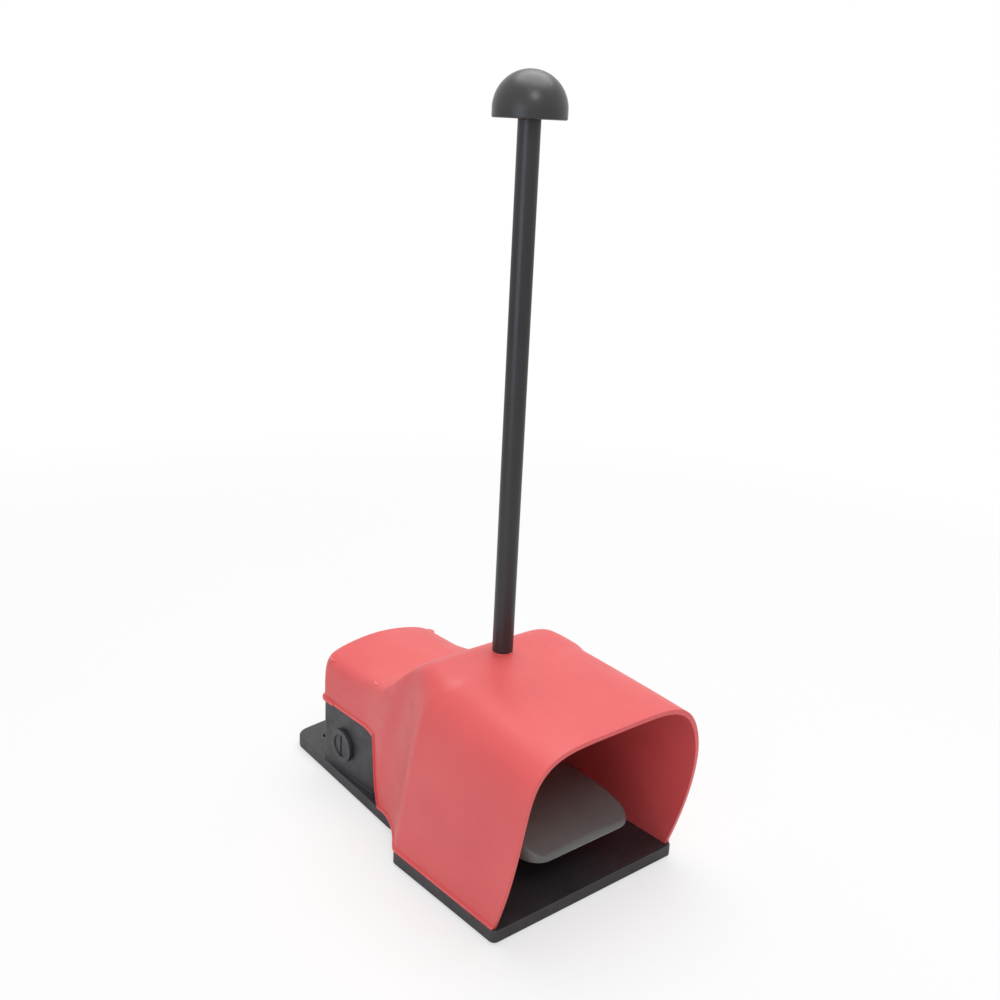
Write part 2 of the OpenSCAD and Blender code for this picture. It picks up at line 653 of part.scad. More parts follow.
module pedal_plan(inset) {
    front = pedal_w / 2 - inset;
    rear = pedal_rear_w / 2 - inset;
    r = pedal_r - inset / 2;
    y0 = pedal_y0 + inset;
    polygon(concat(arc(-front + r, y0 + r, r, 180, 270, 10), arc(front - r, y0 + r, r, 270, 360, 10),
        [[rear, hinge_y + 1], [-rear, hinge_y + 1]]));
}

module pedal_form(inset) intersection() {
    along_x(-pedal_w / 2, pedal_w / 2) pedal_side(inset);
    linear_extrude(pedal_crest + 1) pedal_plan(inset);
}

module pedal() color("#6d7270") difference() {
    union() {
        difference() {
            pedal_form(0);
            pedal_form(pedal_t);
        }
        intersection() {
            pedal_form(0);
            both_sides() box(pedal_rib_x - 1.5, pedal_rib_x + 1.5, pedal_y0, hinge_y, 0, pedal_crest);
        }
        intersection() {
            pedal_form(0);
            translate([0, spring_y, pedal_low + 8])
                washer(spring_d / 2 + gap + cup_t, spring_d / 2 + gap, 30);
        }
        translate([0, hinge_y, hinge_z]) rod_x(-hub_half, hub_half, hub_r);
        box(-arm_half, arm_half, hinge_y - arm_t / 2, arm_face, plunger_z - paddle_h / 2, hinge_z);
        box(-paddle_half, paddle_half, hinge_y - arm_t / 2, arm_face,
            plunger_z - paddle_h / 2, plunger_z + paddle_h / 2);
    }
    translate([0, hinge_y, hinge_z]) {
        rod_x(-hub_half - 1, hub_half + 1, pin_r + 2 * fit);
        both_sides() rod_x(hub_half - bush_len, hub_half + 1, pin_r + bush_t);
    }
}

module hinge_bushes() color("#c9a24a") translate([0, hinge_y, hinge_z]) both_sides() difference() {
    union() {
        rod_x(hub_half - bush_len, hub_half + bush_flange_t, pin_r + bush_t);
        rod_x(hub_half, hub_half + bush_flange_t, hub_r - 1);
    }
    rod_x(hub_half - bush_len - 1, hub_half + bush_flange_t + 1, pin_r + fit);
}

module hinge_pin() color("#b9bcc0") translate([0, hinge_y, hinge_z]) difference() {
    rod_x(-pin_half, pin_half, pin_r);
    both_sides() translate([ear_out + seat, 0, 0]) rotate([0, 90, 0]) washer(pin_r + 1, pin_r - 1, clip_t);
}

module pin_clips() color("#8c8f93") translate([0, hinge_y, hinge_z]) both_sides()
    translate([ear_out + seat, 0, 0]) rotate([0, 90, 0]) difference() {
        washer(pin_r + 3, pin_r - 1 + fit, clip_t);
        translate([0, -pin_r, -1]) cube([2 * pin_r, 2 * pin_r - 2, clip_t + 2]);
    }

module return_spring() color("#a8abaf") translate([0, spring_y, plate_top + 0.1])
    coil_spring(spring_d / 2, spring_wire / 2, pedal_spring_z() - plate_top - 0.2, spring_turns, 20, 8);

// Underside of the pedal's skin over the return spring.
function pedal_spring_z() = let (p = pedal_top(pedal_t))
    min([for (q = p) if (abs(q[0] - spring_y) < spring_d / 2 + 5) q[1]]) - 0.2;

module stop_buffers() color("#141414") for (x = [-1, 1]) translate([x * pedal_rib_x, buffer_y, plate_top])
    cylinder(r = buffer_r - fit, h = buffer_top - plate_top);

// ---- Contact blocks ------------------------------------------------------------------------------------

module block_case() color("#d9d4c4") difference() {
    union() {
        box(-block_w / 2, block_w / 2, block_y0, block_y1, block_z0, block_z1);
        at_block_screws() translate([0, 0, block_z0]) cylinder(r = lug_r, h = lug_h);
    }
    box(-strip_x, strip_x, cavity_y0, cavity_y1, cavity_z0, block_z1 + 1);
    translate([0, 0, plunger_z]) rod_back(block_y0 - 1, cavity_y0 + 1, plunger_r + fit);
    at_block_screws() translate([0, 0, block_z0 - 1]) cylinder(r = block_screw_r + 0.2, h = lug_h + 2);
    for (x = [-1, 1]) translate([x * terminal_x, terminal_y, block_z1 - 9])
        cylinder(r = terminal_r + thread_gap, h = 10);
}

module block_lid() color("#c9c3b0")
    box(-block_w / 2, block_w / 2, block_y0, riser_y - gap, block_z1, block_z1 + lid_t);

// The stem that the pedal's paddle pushes, with the carrier of the moving contact.
module plunger() color("#c43b32") difference() {
    union() {
        translate([0, 0, plunger_z]) rod_back(plunger_tip + 1, carrier_y0 + 1, plunger_r);
        translate([0, plunger_tip + 1, plunger_z]) rotate([90, 0, 0])
            cylinder(r1 = plunger_r, r2 = plunger_r - 0.8, h = 1);
        box(-carrier_half, carrier_half, carrier_y0, carrier_y0 + carrier_len, plunger_z - 5, plunger_z + 5);
    }
    box(-carrier_half - 1, carrier_half + 1, bridge_y, bridge_y + strip_t,
        plunger_z - bridge_h / 2, plunger_z + bridge_h / 2);
    translate([0, 0, plunger_z]) rod_back(carrier_y0 + carrier_len - 2, carrier_y0 + carrier_len + 1,
        contact_spring_r + 0.2);
}

module contact_bridge() color("#c98a4b") {
    box(-bridge_half, bridge_half, bridge_y, bridge_y + strip_t,
        plunger_z - bridge_h / 2, plunger_z + bridge_h / 2);
    for (x = [-1, 1]) translate([x * (bridge_half - tip_r), 0, plunger_z])
        rod_back(bridge_y + strip_t, bridge_y + strip_t + tip_t, tip_r);
}

module contact_spring() color("#b5b8bb") translate([0, carrier_y0 + carrier_len - 1.9, plunger_z])
    rotate([-90, 0, 0]) coil_spring(contact_spring_r, contact_wire / 2,
        cavity_y1 - carrier_y0 - carrier_len + 1.8, 6, 12, 6);

module fixed_contacts() color("#c98a4b") both_sides() {
    box(bridge_half - 2 * tip_r, strip_x, fixed_y, fixed_y + strip_t,
        plunger_z - bridge_h / 2, plunger_z + bridge_h / 2);
    translate([bridge_half - tip_r, 0, plunger_z]) rod_back(fixed_y - tip_t, fixed_y, tip_r);
    box(strip_x - strip_t, strip_x, fixed_y, cavity_y1, plunger_z - bridge_h / 2, plunger_z + bridge_h / 2);
    box(strip_x - strip_t, strip_x, riser_y, cavity_y1, plunger_z - bridge_h / 2, block_z1 + strip_t);
    difference() {
        box(tab_x - 1.5, strip_x, riser_y, riser_y + tab_len, block_z1, block_z1 + strip_t);
        translate([terminal_x, terminal_y, block_z1 - 1]) cylinder(r = terminal_r + 0.2, h = strip_t + 2);
    }
}

module terminal_screws() color("#b9bcc0") at_blocks() for (x = [-1, 1])
    translate([x * terminal_x, terminal_y, block_z1 + strip_t]) pan_screw(terminal_r, 8);

module block_screws() color("#9a9da1") at_blocks() at_block_screws()
    translate([0, 0, block_z0 + lug_h]) pan_screw(block_screw_r, lug_h + pad_h + 2);

module plunger_seals() color("#202020") at_blocks() translate([0, tub_y0 + tub_t, plunger_z])
    rotate([90, 0, 0]) washer(plunger_r + 2.5, plunger_r + fit, tub_t + 3);

// ---- Entries -------------------------------------------------------------------------------------------

module side_plug() color("#37373a") translate([-tub_w / 2, plug_y, plug_z]) difference() {
    union() {
        rod_x(-plug_seal_t, tub_t + plug_nut_t + 1, plug_r);
        rod_x(-plug_seal_t - plug_flange_t, -plug_seal_t, plug_flange_r);
    }
    box(-plug_seal_t - plug_flange_t - 1, -plug_seal_t - 1, -1.25, 1.25, 1.5 - plug_r, plug_r - 1.5);
    rod_x(-plug_seal_t - plug_flange_t - 1, -plug_seal_t - plug_flange_t + 0.8, plug_r - 1.5);
}

module plug_seal() color("#101010") translate([-tub_w / 2 - plug_seal_t, plug_y, plug_z])
    rotate([0, 90, 0]) washer(plug_flange_r - 0.5, plug_r + fit, plug_seal_t);

module plug_nut() color("#46464a") translate([-tub_w / 2 + tub_t, plug_y, plug_z])
    rotate([0, 90, 0]) difference() {
        cylinder(r = plug_nut_r, h = plug_nut_t, $fn = 6);
        translate([0, 0, -1]) cylinder(r = plug_r + thread_gap, h = plug_nut_t + 2);
    }

module earth_screw() color("#c7b46a") translate([earth_x, earth_y, plate_top + pad_h + 1])
    pan_screw(earth_r, 7);

module earth_washer() color("#b9bcc0") translate([earth_x, earth_y, plate_top + pad_h])
    washer(4.5, earth_r + 0.1, 1);

// ---- Rod and knob --------------------------------------------------------------------------------------

module carrying_rod() color("#232325") translate([0, rod_y, 0]) {
    translate([0, 0, rod_seat_z]) cylinder(r1 = rod_r - 1, r2 = rod_r, h = 1);
    translate([0, 0, rod_seat_z + 1]) cylinder(r = rod_r, h = rod_len - 1);
    translate([0, 0, stud_end_z]) cylinder(r = rod_stud_r, h = rod_seat_z - stud_end_z);
    translate([0, 0, knob_z]) cylinder(r = rod_stud_r, h = stud_len);
}

module rod_washer() color("#b9bcc0") translate([0, rod_y, washer_z])
    washer(rod_boss_r - 1, rod_stud_r + 0.3, washer_t);

module rod_lock_washer() color("#9a9da1") translate([0, rod_y, lock_washer_z]) difference() {
    washer(rod_stud_r + 3.6, rod_stud_r + 0.1, lock_washer_t);
    rotate([30, 0, 0]) box(0, 2 * rod_stud_r, -0.8, 0.8, -4, 4);
}

module rod_nut() color("#b9bcc0") translate([0, rod_y, nut_z]) difference() {
    cylinder(r = rod_stud_r + 5, h = nut_h, $fn = 6);
    translate([0, 0, -1]) cylinder(r = rod_stud_r + thread_gap, h = nut_h + 2);
}

module knob() color("#1d1d1f") translate([0, rod_y, knob_z]) difference() {
    rotate_extrude() polygon(concat([[0, 0]], arc(knob_r - 1.5, 1.5, 1.5, -90, 0, 5),
        [for (i = [0 : 24]) let (a = 90 * i / 24) [knob_r * cos(a), knob_band + knob_r * sin(a)]]));
    translate([0, 0, -1]) cylinder(r = insert_r, h = insert_len + 1);
}

module knob_insert() color("#c9a24a") translate([0, rod_y, knob_z]) difference() {
    cylinder(r = insert_r, h = insert_len);
    translate([0, 0, -1]) cylinder(r = rod_stud_r + thread_gap, h = stud_len + 1.5);
}

base_housing();
rubber_feet();
guard_cover();
cover_gasket();
long_cover_screws();
short_cover_screws();
pedal();
hinge_bushes();
hinge_pin();
pin_clips();
return_spring();
stop_buffers();
translate([-plunger_x, 0, 0]) block_case();  // block_case_left
translate([plunger_x, 0, 0]) block_case();  // block_case_right
translate([-plunger_x, 0, 0]) block_lid();  // block_lid_left
translate([plunger_x, 0, 0]) block_lid();  // block_lid_right
translate([-plunger_x, 0, 0]) plunger();  // plunger_left
translate([plunger_x, 0, 0]) plunger();  // plunger_right
translate([-plunger_x, 0, 0]) contact_bridge();  // contact_bridge_left
translate([plunger_x, 0, 0]) contact_bridge();  // contact_bridge_right
translate([-plunger_x, 0, 0]) contact_spring();  // contact_spring_left
translate([plunger_x, 0, 0]) contact_spring();  // contact_spring_right
translate([-plunger_x, 0, 0]) fixed_contacts();  // fixed_contacts_left
translate([plunger_x, 0, 0]) fixed_contacts();  // fixed_contacts_right
terminal_screws();
block_screws();
plunger_seals();
side_plug();
plug_seal();
plug_nut();
earth_screw();
earth_washer();
carrying_rod();
rod_washer();
rod_lock_washer();
rod_nut();
knob();
knob_insert();
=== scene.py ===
import json
import math
import bmesh
import bpy
from mathutils import Matrix, Vector


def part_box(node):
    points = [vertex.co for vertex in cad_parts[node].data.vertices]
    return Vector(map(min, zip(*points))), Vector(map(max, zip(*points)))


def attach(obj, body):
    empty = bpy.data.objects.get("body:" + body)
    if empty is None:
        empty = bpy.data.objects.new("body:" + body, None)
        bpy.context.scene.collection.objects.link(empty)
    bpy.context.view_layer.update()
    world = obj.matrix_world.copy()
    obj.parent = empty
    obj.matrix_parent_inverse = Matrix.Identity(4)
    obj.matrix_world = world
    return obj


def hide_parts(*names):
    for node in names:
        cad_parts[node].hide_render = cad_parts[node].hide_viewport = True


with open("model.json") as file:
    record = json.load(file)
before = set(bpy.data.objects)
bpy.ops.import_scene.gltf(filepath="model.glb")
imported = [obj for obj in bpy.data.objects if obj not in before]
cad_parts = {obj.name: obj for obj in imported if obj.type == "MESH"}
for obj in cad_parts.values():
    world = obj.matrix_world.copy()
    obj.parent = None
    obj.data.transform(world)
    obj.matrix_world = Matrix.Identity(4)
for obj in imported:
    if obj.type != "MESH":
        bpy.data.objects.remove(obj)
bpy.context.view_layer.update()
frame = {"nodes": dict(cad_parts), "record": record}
mm = 0.001

# camera, placed where it looks at the foot opening from the front left
cameraView = {
    "location": (-0.4885, -0.5919, 0.4764),
    "azimuth": -41.0,    # degrees, 0 looks along +Y
    "elevation": 17.44,
    "roll": 2.77,
    "lens": 43.2,
}


def makeCamera(s):
    az, el, roll = (math.radians(s[k]) for k in ("azimuth", "elevation", "roll"))
    back = Vector((math.sin(az) * math.cos(el), -math.cos(az) * math.cos(el), math.sin(el)))
    right = Vector((math.cos(az), math.sin(az), 0))
    up = back.cross(right)
    xAxis = math.cos(roll) * right + math.sin(roll) * up
    yAxis = -math.sin(roll) * right + math.cos(roll) * up
    camera = bpy.data.objects.new("camera", bpy.data.cameras.new("camera"))
    bpy.context.scene.collection.objects.link(camera)
    turned = Matrix((xAxis, yAxis, back)).transposed().to_4x4()
    camera.matrix_world = Matrix.Translation(s["location"]) @ turned
    camera.data.lens = s["lens"]
    camera.data.sensor_width = 36
    camera.data.clip_start = 0.02
    bpy.context.scene.camera = camera


makeCamera(cameraView)
print("camera placed")


# node helpers for the finishes
def addNode(mat, kind, **values):
    node = mat.node_tree.nodes.new(kind)
    for key, value in values.items():
        if hasattr(node, key):
            setattr(node, key, value)
        else:
            node.inputs[key.replace("_", " ")].default_value = value
    return node


def joinNodes(mat, source, output, target, entry):
    mat.node_tree.links.new(source.outputs[output], target.inputs[entry])


def newFinish(name, colour, roughness, **sockets):
    mat = bpy.data.materials.new(name)
    mat.use_nodes = True
    shader = mat.node_tree.nodes["Principled BSDF"]
    shader.inputs["Base Color"].default_value = (*colour, 1)
    shader.inputs["Roughness"].default_value = roughness
    for key, value in sockets.items():
        shader.inputs[key.replace("_", " ")].default_value = value
    mat.diffuse_color = (*colour, 1)
    return mat, shader


def remapped(mat, source, output, low, high, start=0.0, end=1.0):
    node = addNode(mat, "ShaderNodeMapRange", From_Min=start, From_Max=end, To_Min=low, To_Max=high)
    joinNodes(mat, source, output, node, "Value")
    return node


def mouldedPlastic(name, s):
    mat, shader = newFinish(name, s["colour"], s["roughness"], **s.get("sockets", {}))
    place = addNode(mat, "ShaderNodeTexCoord")
    clouds = addNode(mat, "ShaderNodeTexNoise", Scale=s["cloudScale"], Detail=3.0, Roughness=0.55)
    joinNodes(mat, place, "Object", clouds, "Vector")
    tint = addNode(mat, "ShaderNodeMix", data_type="RGBA")
    tint.inputs[6].default_value = (*s["colour"], 1)
    tint.inputs[7].default_value = (*s["shade"], 1)
    blend = remapped(mat, clouds, "Fac", 0.0, s["shadeAmount"], 0.35, 0.7)
    joinNodes(mat, blend, "Result", tint, "Factor")
    # edges come out paler in patches, from the bend of the surface: partly rubbed wear, partly a painted highlight on
    # the rounded rims and edges
    bend = addNode(mat, "ShaderNodeNewGeometry")
    paleEdgeShare = remapped(mat, bend, "Pointiness", 0.0, 1.0, 0.52, 0.6)
    patches = addNode(mat, "ShaderNodeTexNoise", Scale=s["wearAndHighlightScale"], Detail=5.0, Roughness=0.7)
    joinNodes(mat, place, "Object", patches, "Vector")
    patchy = remapped(mat, patches, "Fac", 0.0, s["wearAndHighlightAmount"], 0.42, 0.62)
    wearAndHighlightShare = addNode(mat, "ShaderNodeMath", operation="MULTIPLY")
    joinNodes(mat, paleEdgeShare, "Result", wearAndHighlightShare, 0)
    joinNodes(mat, patchy, "Result", wearAndHighlightShare, 1)
    # paler edge colour: rubbed wear together with a painted highlight on convex edges
    wearAndHighlight = addNode(mat, "ShaderNodeMix", data_type="RGBA")
    wearAndHighlight.inputs[7].default_value = (*s["wearAndHighlight"], 1)
    mat.node_tree.links.new(tint.outputs[2], wearAndHighlight.inputs[6])
    joinNodes(mat, wearAndHighlightShare, "Value", wearAndHighlight, "Factor")
    mat.node_tree.links.new(wearAndHighlight.outputs[2], shader.inputs["Base Color"])
    # gloss wanders a little, with fine scuffs in it
    scuffs = addNode(mat, "ShaderNodeTexNoise", Scale=s["scuffScale"], Detail=8.0, Roughness=0.72)
    stretch = addNode(mat, "ShaderNodeMapping")
    stretch.inputs["Scale"].default_value = s.get("scuffStretch", (1, 1, 1))
    joinNodes(mat, place, "Object", stretch, "Vector")
    joinNodes(mat, stretch, "Vector", scuffs, "Vector")
    glossiest, dullest = s["roughness"] - s["glossSpread"], s["roughness"] + s["glossSpread"]
    gloss = remapped(mat, scuffs, "Fac", glossiest, dullest, 0.35, 0.65)
    joinNodes(mat, gloss, "Result", shader, "Roughness")
    # spark eroded grain under a very slight waviness
    grain = addNode(mat, "ShaderNodeTexVoronoi", Scale=s["grainScale"], feature="SMOOTH_F1")
    joinNodes(mat, place, "Object", grain, "Vector")
    fine = addNode(mat, "ShaderNodeBump", Strength=s["grainStrength"], Distance=s["grainDepth"])
    joinNodes(mat, grain, "Distance", fine, "Height")
    wave = addNode(mat, "ShaderNodeBump", Strength=s["waveStrength"], Distance=s["waveDepth"])
    joinNodes(mat, clouds, "Fac", wave, "Height")
    joinNodes(mat, wave, "Normal", fine, "Normal")
    joinNodes(mat, fine, "Normal", shader, "Normal")
    return mat


# the paler edge colour is partly a painted highlight along the hood's rim
guardPlastic = mouldedPlastic("guardPlastic", {
    "colour": (0.74, 0.105, 0.105), "shade": (0.64, 0.075, 0.08), "shadeAmount": 0.5, "wearAndHighlight": (0.82, 0.24, 0.24),
    "roughness": 0.42, "glossSpread": 0.07, "cloudScale": 14.0, "wearAndHighlightScale": 60.0, "wearAndHighlightAmount": 0.55,
    "scuffScale": 70.0, "scuffStretch": (1, 0.35, 1), "grainScale": 1500.0, "grainStrength": 0.25,
    "grainDepth": 0.00025, "waveStrength": 0.12, "waveDepth": 0.002,
    "sockets": {"Specular_IOR_Level": 0.45},
})
baseThermoset = mouldedPlastic("baseThermoset", {
    "colour": (0.035, 0.033, 0.036), "shade": (0.022, 0.021, 0.024), "shadeAmount": 0.8, "wearAndHighlight": (0.1, 0.1, 0.1),
    "roughness": 0.5, "glossSpread": 0.1, "cloudScale": 22.0, "wearAndHighlightScale": 80.0, "wearAndHighlightAmount": 0.6,
    "scuffScale": 90.0, "grainScale": 1100.0, "grainStrength": 0.35, "grainDepth": 0.0003,
    "waveStrength": 0.1, "waveDepth": 0.0015,
})
# the paler edge colour is partly a painted highlight along the pedal's rounded nose, partly its wear
treadlePlastic = mouldedPlastic("treadlePlastic", {
    "colour": (0.13, 0.135, 0.13), "shade": (0.1, 0.105, 0.1), "shadeAmount": 0.7, "wearAndHighlight": (0.26, 0.265, 0.26),
    "roughness": 0.46, "glossSpread": 0.1, "cloudScale": 30.0, "wearAndHighlightScale": 45.0, "wearAndHighlightAmount": 0.8,
    "scuffScale": 60.0, "scuffStretch": (0.4, 1, 1), "grainScale": 900.0, "grainStrength": 0.4,
    "grainDepth": 0.0003, "waveStrength": 0.1, "waveDepth": 0.001,
})
knobPlastic = mouldedPlastic("knobPlastic", {
    "colour": (0.03, 0.028, 0.029), "shade": (0.02, 0.019, 0.02), "shadeAmount": 0.6, "wearAndHighlight": (0.09, 0.09, 0.09),
    "roughness": 0.34, "glossSpread": 0.05, "cloudScale": 40.0, "wearAndHighlightScale": 70.0, "wearAndHighlightAmount": 0.5,
    "scuffScale": 120.0, "grainScale": 1800.0, "grainStrength": 0.15, "grainDepth": 0.0001,
    "waveStrength": 0.08, "waveDepth": 0.001,
})


def softRubber(name, s):
    mat, shader = newFinish(name, s["colour"], s["roughness"], Specular_IOR_Level=0.3)
    place = addNode(mat, "ShaderNodeTexCoord")
    dust = addNode(mat, "ShaderNodeTexNoise", Scale=s["dustScale"], Detail=6.0, Roughness=0.65)
    joinNodes(mat, place, "Object", dust, "Vector")
    tint = addNode(mat, "ShaderNodeMix", data_type="RGBA")
    tint.inputs[6].default_value = (*s["colour"], 1)
    tint.inputs[7].default_value = (*s["dusty"], 1)
    share = remapped(mat, dust, "Fac", 0.0, s["dustAmount"], 0.45, 0.7)
    joinNodes(mat, share, "Result", tint, "Factor")
    mat.node_tree.links.new(tint.outputs[2], shader.inputs["Base Color"])
    dull = remapped(mat, dust, "Fac", s["roughness"] - 0.1, min(s["roughness"] + 0.12, 1), 0.35, 0.65)
    joinNodes(mat, dull, "Result", shader, "Roughness")
    pores = addNode(mat, "ShaderNodeTexNoise", Scale=s["poreScale"], Detail=3.0)
    joinNodes(mat, place, "Object", pores, "Vector")
    skin = addNode(mat, "ShaderNodeBump", Strength=s["poreStrength"], Distance=0.0002)
    joinNodes(mat, pores, "Fac", skin, "Height")
    joinNodes(mat, skin, "Normal", shader, "Normal")
    return mat


def workedMetal(name, s):
    # turned, drawn or plated metal: tool marks run along the stretched axis, with stains over them
    mat, shader = newFinish(name, s["colour"], s["roughness"], Metallic=1.0)
    place = addNode(mat, "ShaderNodeTexCoord")
    run = addNode(mat, "ShaderNodeMapping")
    run.inputs["Scale"].default_value = s["markStretch"]
    joinNodes(mat, place, "Object", run, "Vector")
    marks = addNode(mat, "ShaderNodeTexNoise", Scale=s["markScale"], Detail=6.0, Roughness=0.6)
    joinNodes(mat, run, "Vector", marks, "Vector")
    stains = addNode(mat, "ShaderNodeTexNoise", Scale=s["stainScale"], Detail=5.0, Roughness=0.6)
    joinNodes(mat, place, "Object", stains, "Vector")
    tint = addNode(mat, "ShaderNodeMix", data_type="RGBA")
    tint.inputs[6].default_value = (*s["colour"], 1)
    tint.inputs[7].default_value = (*s["stain"], 1)
    share = remapped(mat, stains, "Fac", 0.0, s["stainAmount"], 0.45, 0.68)
    joinNodes(mat, share, "Result", tint, "Factor")
    mat.node_tree.links.new(tint.outputs[2], shader.inputs["Base Color"])
    dull = addNode(mat, "ShaderNodeMath", operation="ADD")
    marked = remapped(mat, marks, "Fac", s["roughness"] - 0.08, s["roughness"] + 0.08, 0.3, 0.7)
    stained = remapped(mat, stains, "Fac", 0.0, 0.15, 0.5, 0.7)
    joinNodes(mat, marked, "Result", dull, 0)
    joinNodes(mat, stained, "Result", dull, 1)
    joinNodes(mat, dull, "Value", shader, "Roughness")
    cut = addNode(mat, "ShaderNodeBump", Strength=s["markStrength"], Distance=0.0001)
    joinNodes(mat, marks, "Fac", cut, "Height")
    joinNodes(mat, cut, "Normal", shader, "Normal")
    return mat


footRubber = softRubber("footRubber", {
    "colour": (0.018, 0.018, 0.019), "dusty": (0.09, 0.085, 0.08), "dustAmount": 0.6, "roughness": 0.78,
    "dustScale": 130.0, "poreScale": 900.0, "poreStrength": 0.3,
})
sealRubber = softRubber("sealRubber", {
    "colour": (0.022, 0.022, 0.024), "dusty": (0.06, 0.06, 0.06), "dustAmount": 0.4, "roughness": 0.6,
    "dustScale": 220.0, "poreScale": 1400.0, "poreStrength": 0.15,
})
zincPlate = workedMetal("zincPlate", {
    "colour": (0.66, 0.67, 0.68), "stain": (0.5, 0.49, 0.44), "stainAmount": 0.7, "roughness": 0.34,
    "markScale": 500.0, "markStretch": (1, 1, 0.2), "markStrength": 0.25, "stainScale": 160.0,
})
axleSteel = workedMetal("axleSteel", {
    "colour": (0.6, 0.6, 0.61), "stain": (0.42, 0.4, 0.38), "stainAmount": 0.5, "roughness": 0.26,
    "markScale": 700.0, "markStretch": (1, 0.15, 0.15), "markStrength": 0.2, "stainScale": 90.0,
})
coilSteel = workedMetal("coilSteel", {
    "colour": (0.5, 0.5, 0.52), "stain": (0.3, 0.27, 0.25), "stainAmount": 0.6, "roughness": 0.32,
    "markScale": 900.0, "markStretch": (1, 1, 0.4), "markStrength": 0.2, "stainScale": 200.0,
})
bushBronze = workedMetal("bushBronze", {
    "colour": (0.62, 0.42, 0.17), "stain": (0.36, 0.22, 0.1), "stainAmount": 0.6, "roughness": 0.4,
    "markScale": 600.0, "markStretch": (1, 0.3, 0.3), "markStrength": 0.3, "stainScale": 180.0,
})
contactCopper = workedMetal("contactCopper", {
    "colour": (0.78, 0.42, 0.24), "stain": (0.5, 0.26, 0.16), "stainAmount": 0.5, "roughness": 0.3,
    "markScale": 800.0, "markStretch": (0.2, 1, 1), "markStrength": 0.15, "stainScale": 220.0,
})
caseResin = mouldedPlastic("caseResin", {
    "colour": (0.62, 0.59, 0.5), "shade": (0.5, 0.46, 0.37), "shadeAmount": 0.6, "wearAndHighlight": (0.75, 0.72, 0.64),
    "roughness": 0.5, "glossSpread": 0.08, "cloudScale": 60.0, "wearAndHighlightScale": 150.0, "wearAndHighlightAmount": 0.4,
    "scuffScale": 200.0, "grainScale": 2200.0, "grainStrength": 0.2, "grainDepth": 0.0001,
    "waveStrength": 0.06, "waveDepth": 0.0005,
})
lidResin = mouldedPlastic("lidResin", {
    "colour": (0.55, 0.52, 0.43), "shade": (0.44, 0.41, 0.33), "shadeAmount": 0.6, "wearAndHighlight": (0.7, 0.67, 0.58),
    "roughness": 0.44, "glossSpread": 0.08, "cloudScale": 70.0, "wearAndHighlightScale": 160.0, "wearAndHighlightAmount": 0.4,
    "scuffScale": 220.0, "grainScale": 2400.0, "grainStrength": 0.15, "grainDepth": 0.0001,
    "waveStrength": 0.06, "waveDepth": 0.0005,
})
plungerAcetal = mouldedPlastic("plungerAcetal", {
    "colour": (0.5, 0.05, 0.035), "shade": (0.4, 0.035, 0.03), "shadeAmount": 0.5, "wearAndHighlight": (0.62, 0.16, 0.13),
    "roughness": 0.32, "glossSpread": 0.06, "cloudScale": 120.0, "wearAndHighlightScale": 250.0, "wearAndHighlightAmount": 0.5,
    "scuffScale": 300.0, "scuffStretch": (1, 0.2, 1), "grainScale": 3000.0, "grainStrength": 0.1,
    "grainDepth": 0.00005, "waveStrength": 0.05, "waveDepth": 0.0003,
})
plugPolyamide = mouldedPlastic("plugPolyamide", {
    "colour": (0.032, 0.03, 0.034), "shade": (0.02, 0.019, 0.022), "shadeAmount": 0.7, "wearAndHighlight": (0.09, 0.09, 0.09),
    "roughness": 0.42, "glossSpread": 0.08, "cloudScale": 90.0, "wearAndHighlightScale": 180.0, "wearAndHighlightAmount": 0.6,
    "scuffScale": 200.0, "grainScale": 2000.0, "grainStrength": 0.2, "grainDepth": 0.0001,
    "waveStrength": 0.05, "waveDepth": 0.0005,
})
print("finishes mixed")


# mesh helpers: a piece is built in millimetres of the shared frame and brought to metres at the end
def finishPiece(name, bm, material, body, replaced=(), smoothAngle=32, weighted=True):
    bmesh.ops.scale(bm, vec=(mm, mm, mm), verts=bm.verts)
    mesh = bpy.data.meshes.new(name)
    bm.to_mesh(mesh)
    bm.free()
    piece = bpy.data.objects.new(name, mesh)
    bpy.context.scene.collection.objects.link(piece)
    mesh.materials.append(material)
    mesh.shade_smooth()
    mesh.set_sharp_from_angle(angle=math.radians(smoothAngle))
    if weighted:
        even = piece.modifiers.new("evenNormals", "WEIGHTED_NORMAL")
        even.keep_sharp = True
    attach(piece, body)
    if replaced:
        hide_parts(*replaced)
    return piece


def nodeBox(node):
    low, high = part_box(node)
    return low / mm, high / mm


def spunPart(bm, profile, centre, axis="Z", steps=64):
    # profile holds (radius, height) pairs, spun once round the axis through centre
    part = bmesh.new()
    verts = [part.verts.new((r, 0, h)) for r, h in profile]
    edges = [part.edges.new(pair) for pair in zip(verts, verts[1:])]
    bmesh.ops.spin(part, geom=verts + edges, cent=(0, 0, 0), axis=(0, 0, 1), angle=math.tau, steps=steps,
                   use_merge=True)
    bmesh.ops.remove_doubles(part, verts=part.verts, dist=1e-4)
    turned = {"X": Matrix.Rotation(math.pi / 2, 3, "Y"), "Y": Matrix.Rotation(-math.pi / 2, 3, "X")}
    if axis in turned:
        bmesh.ops.rotate(part, verts=part.verts, cent=(0, 0, 0), matrix=turned[axis])
    bmesh.ops.translate(part, verts=part.verts, vec=centre)
    bmesh.ops.recalc_face_normals(part, faces=part.faces)
    addCopy(bm, part)


def addCopy(bm, part):
    held = bpy.data.meshes.new("held")
    part.to_mesh(held)
    part.free()
    bm.from_mesh(held)
    bpy.data.meshes.remove(held)


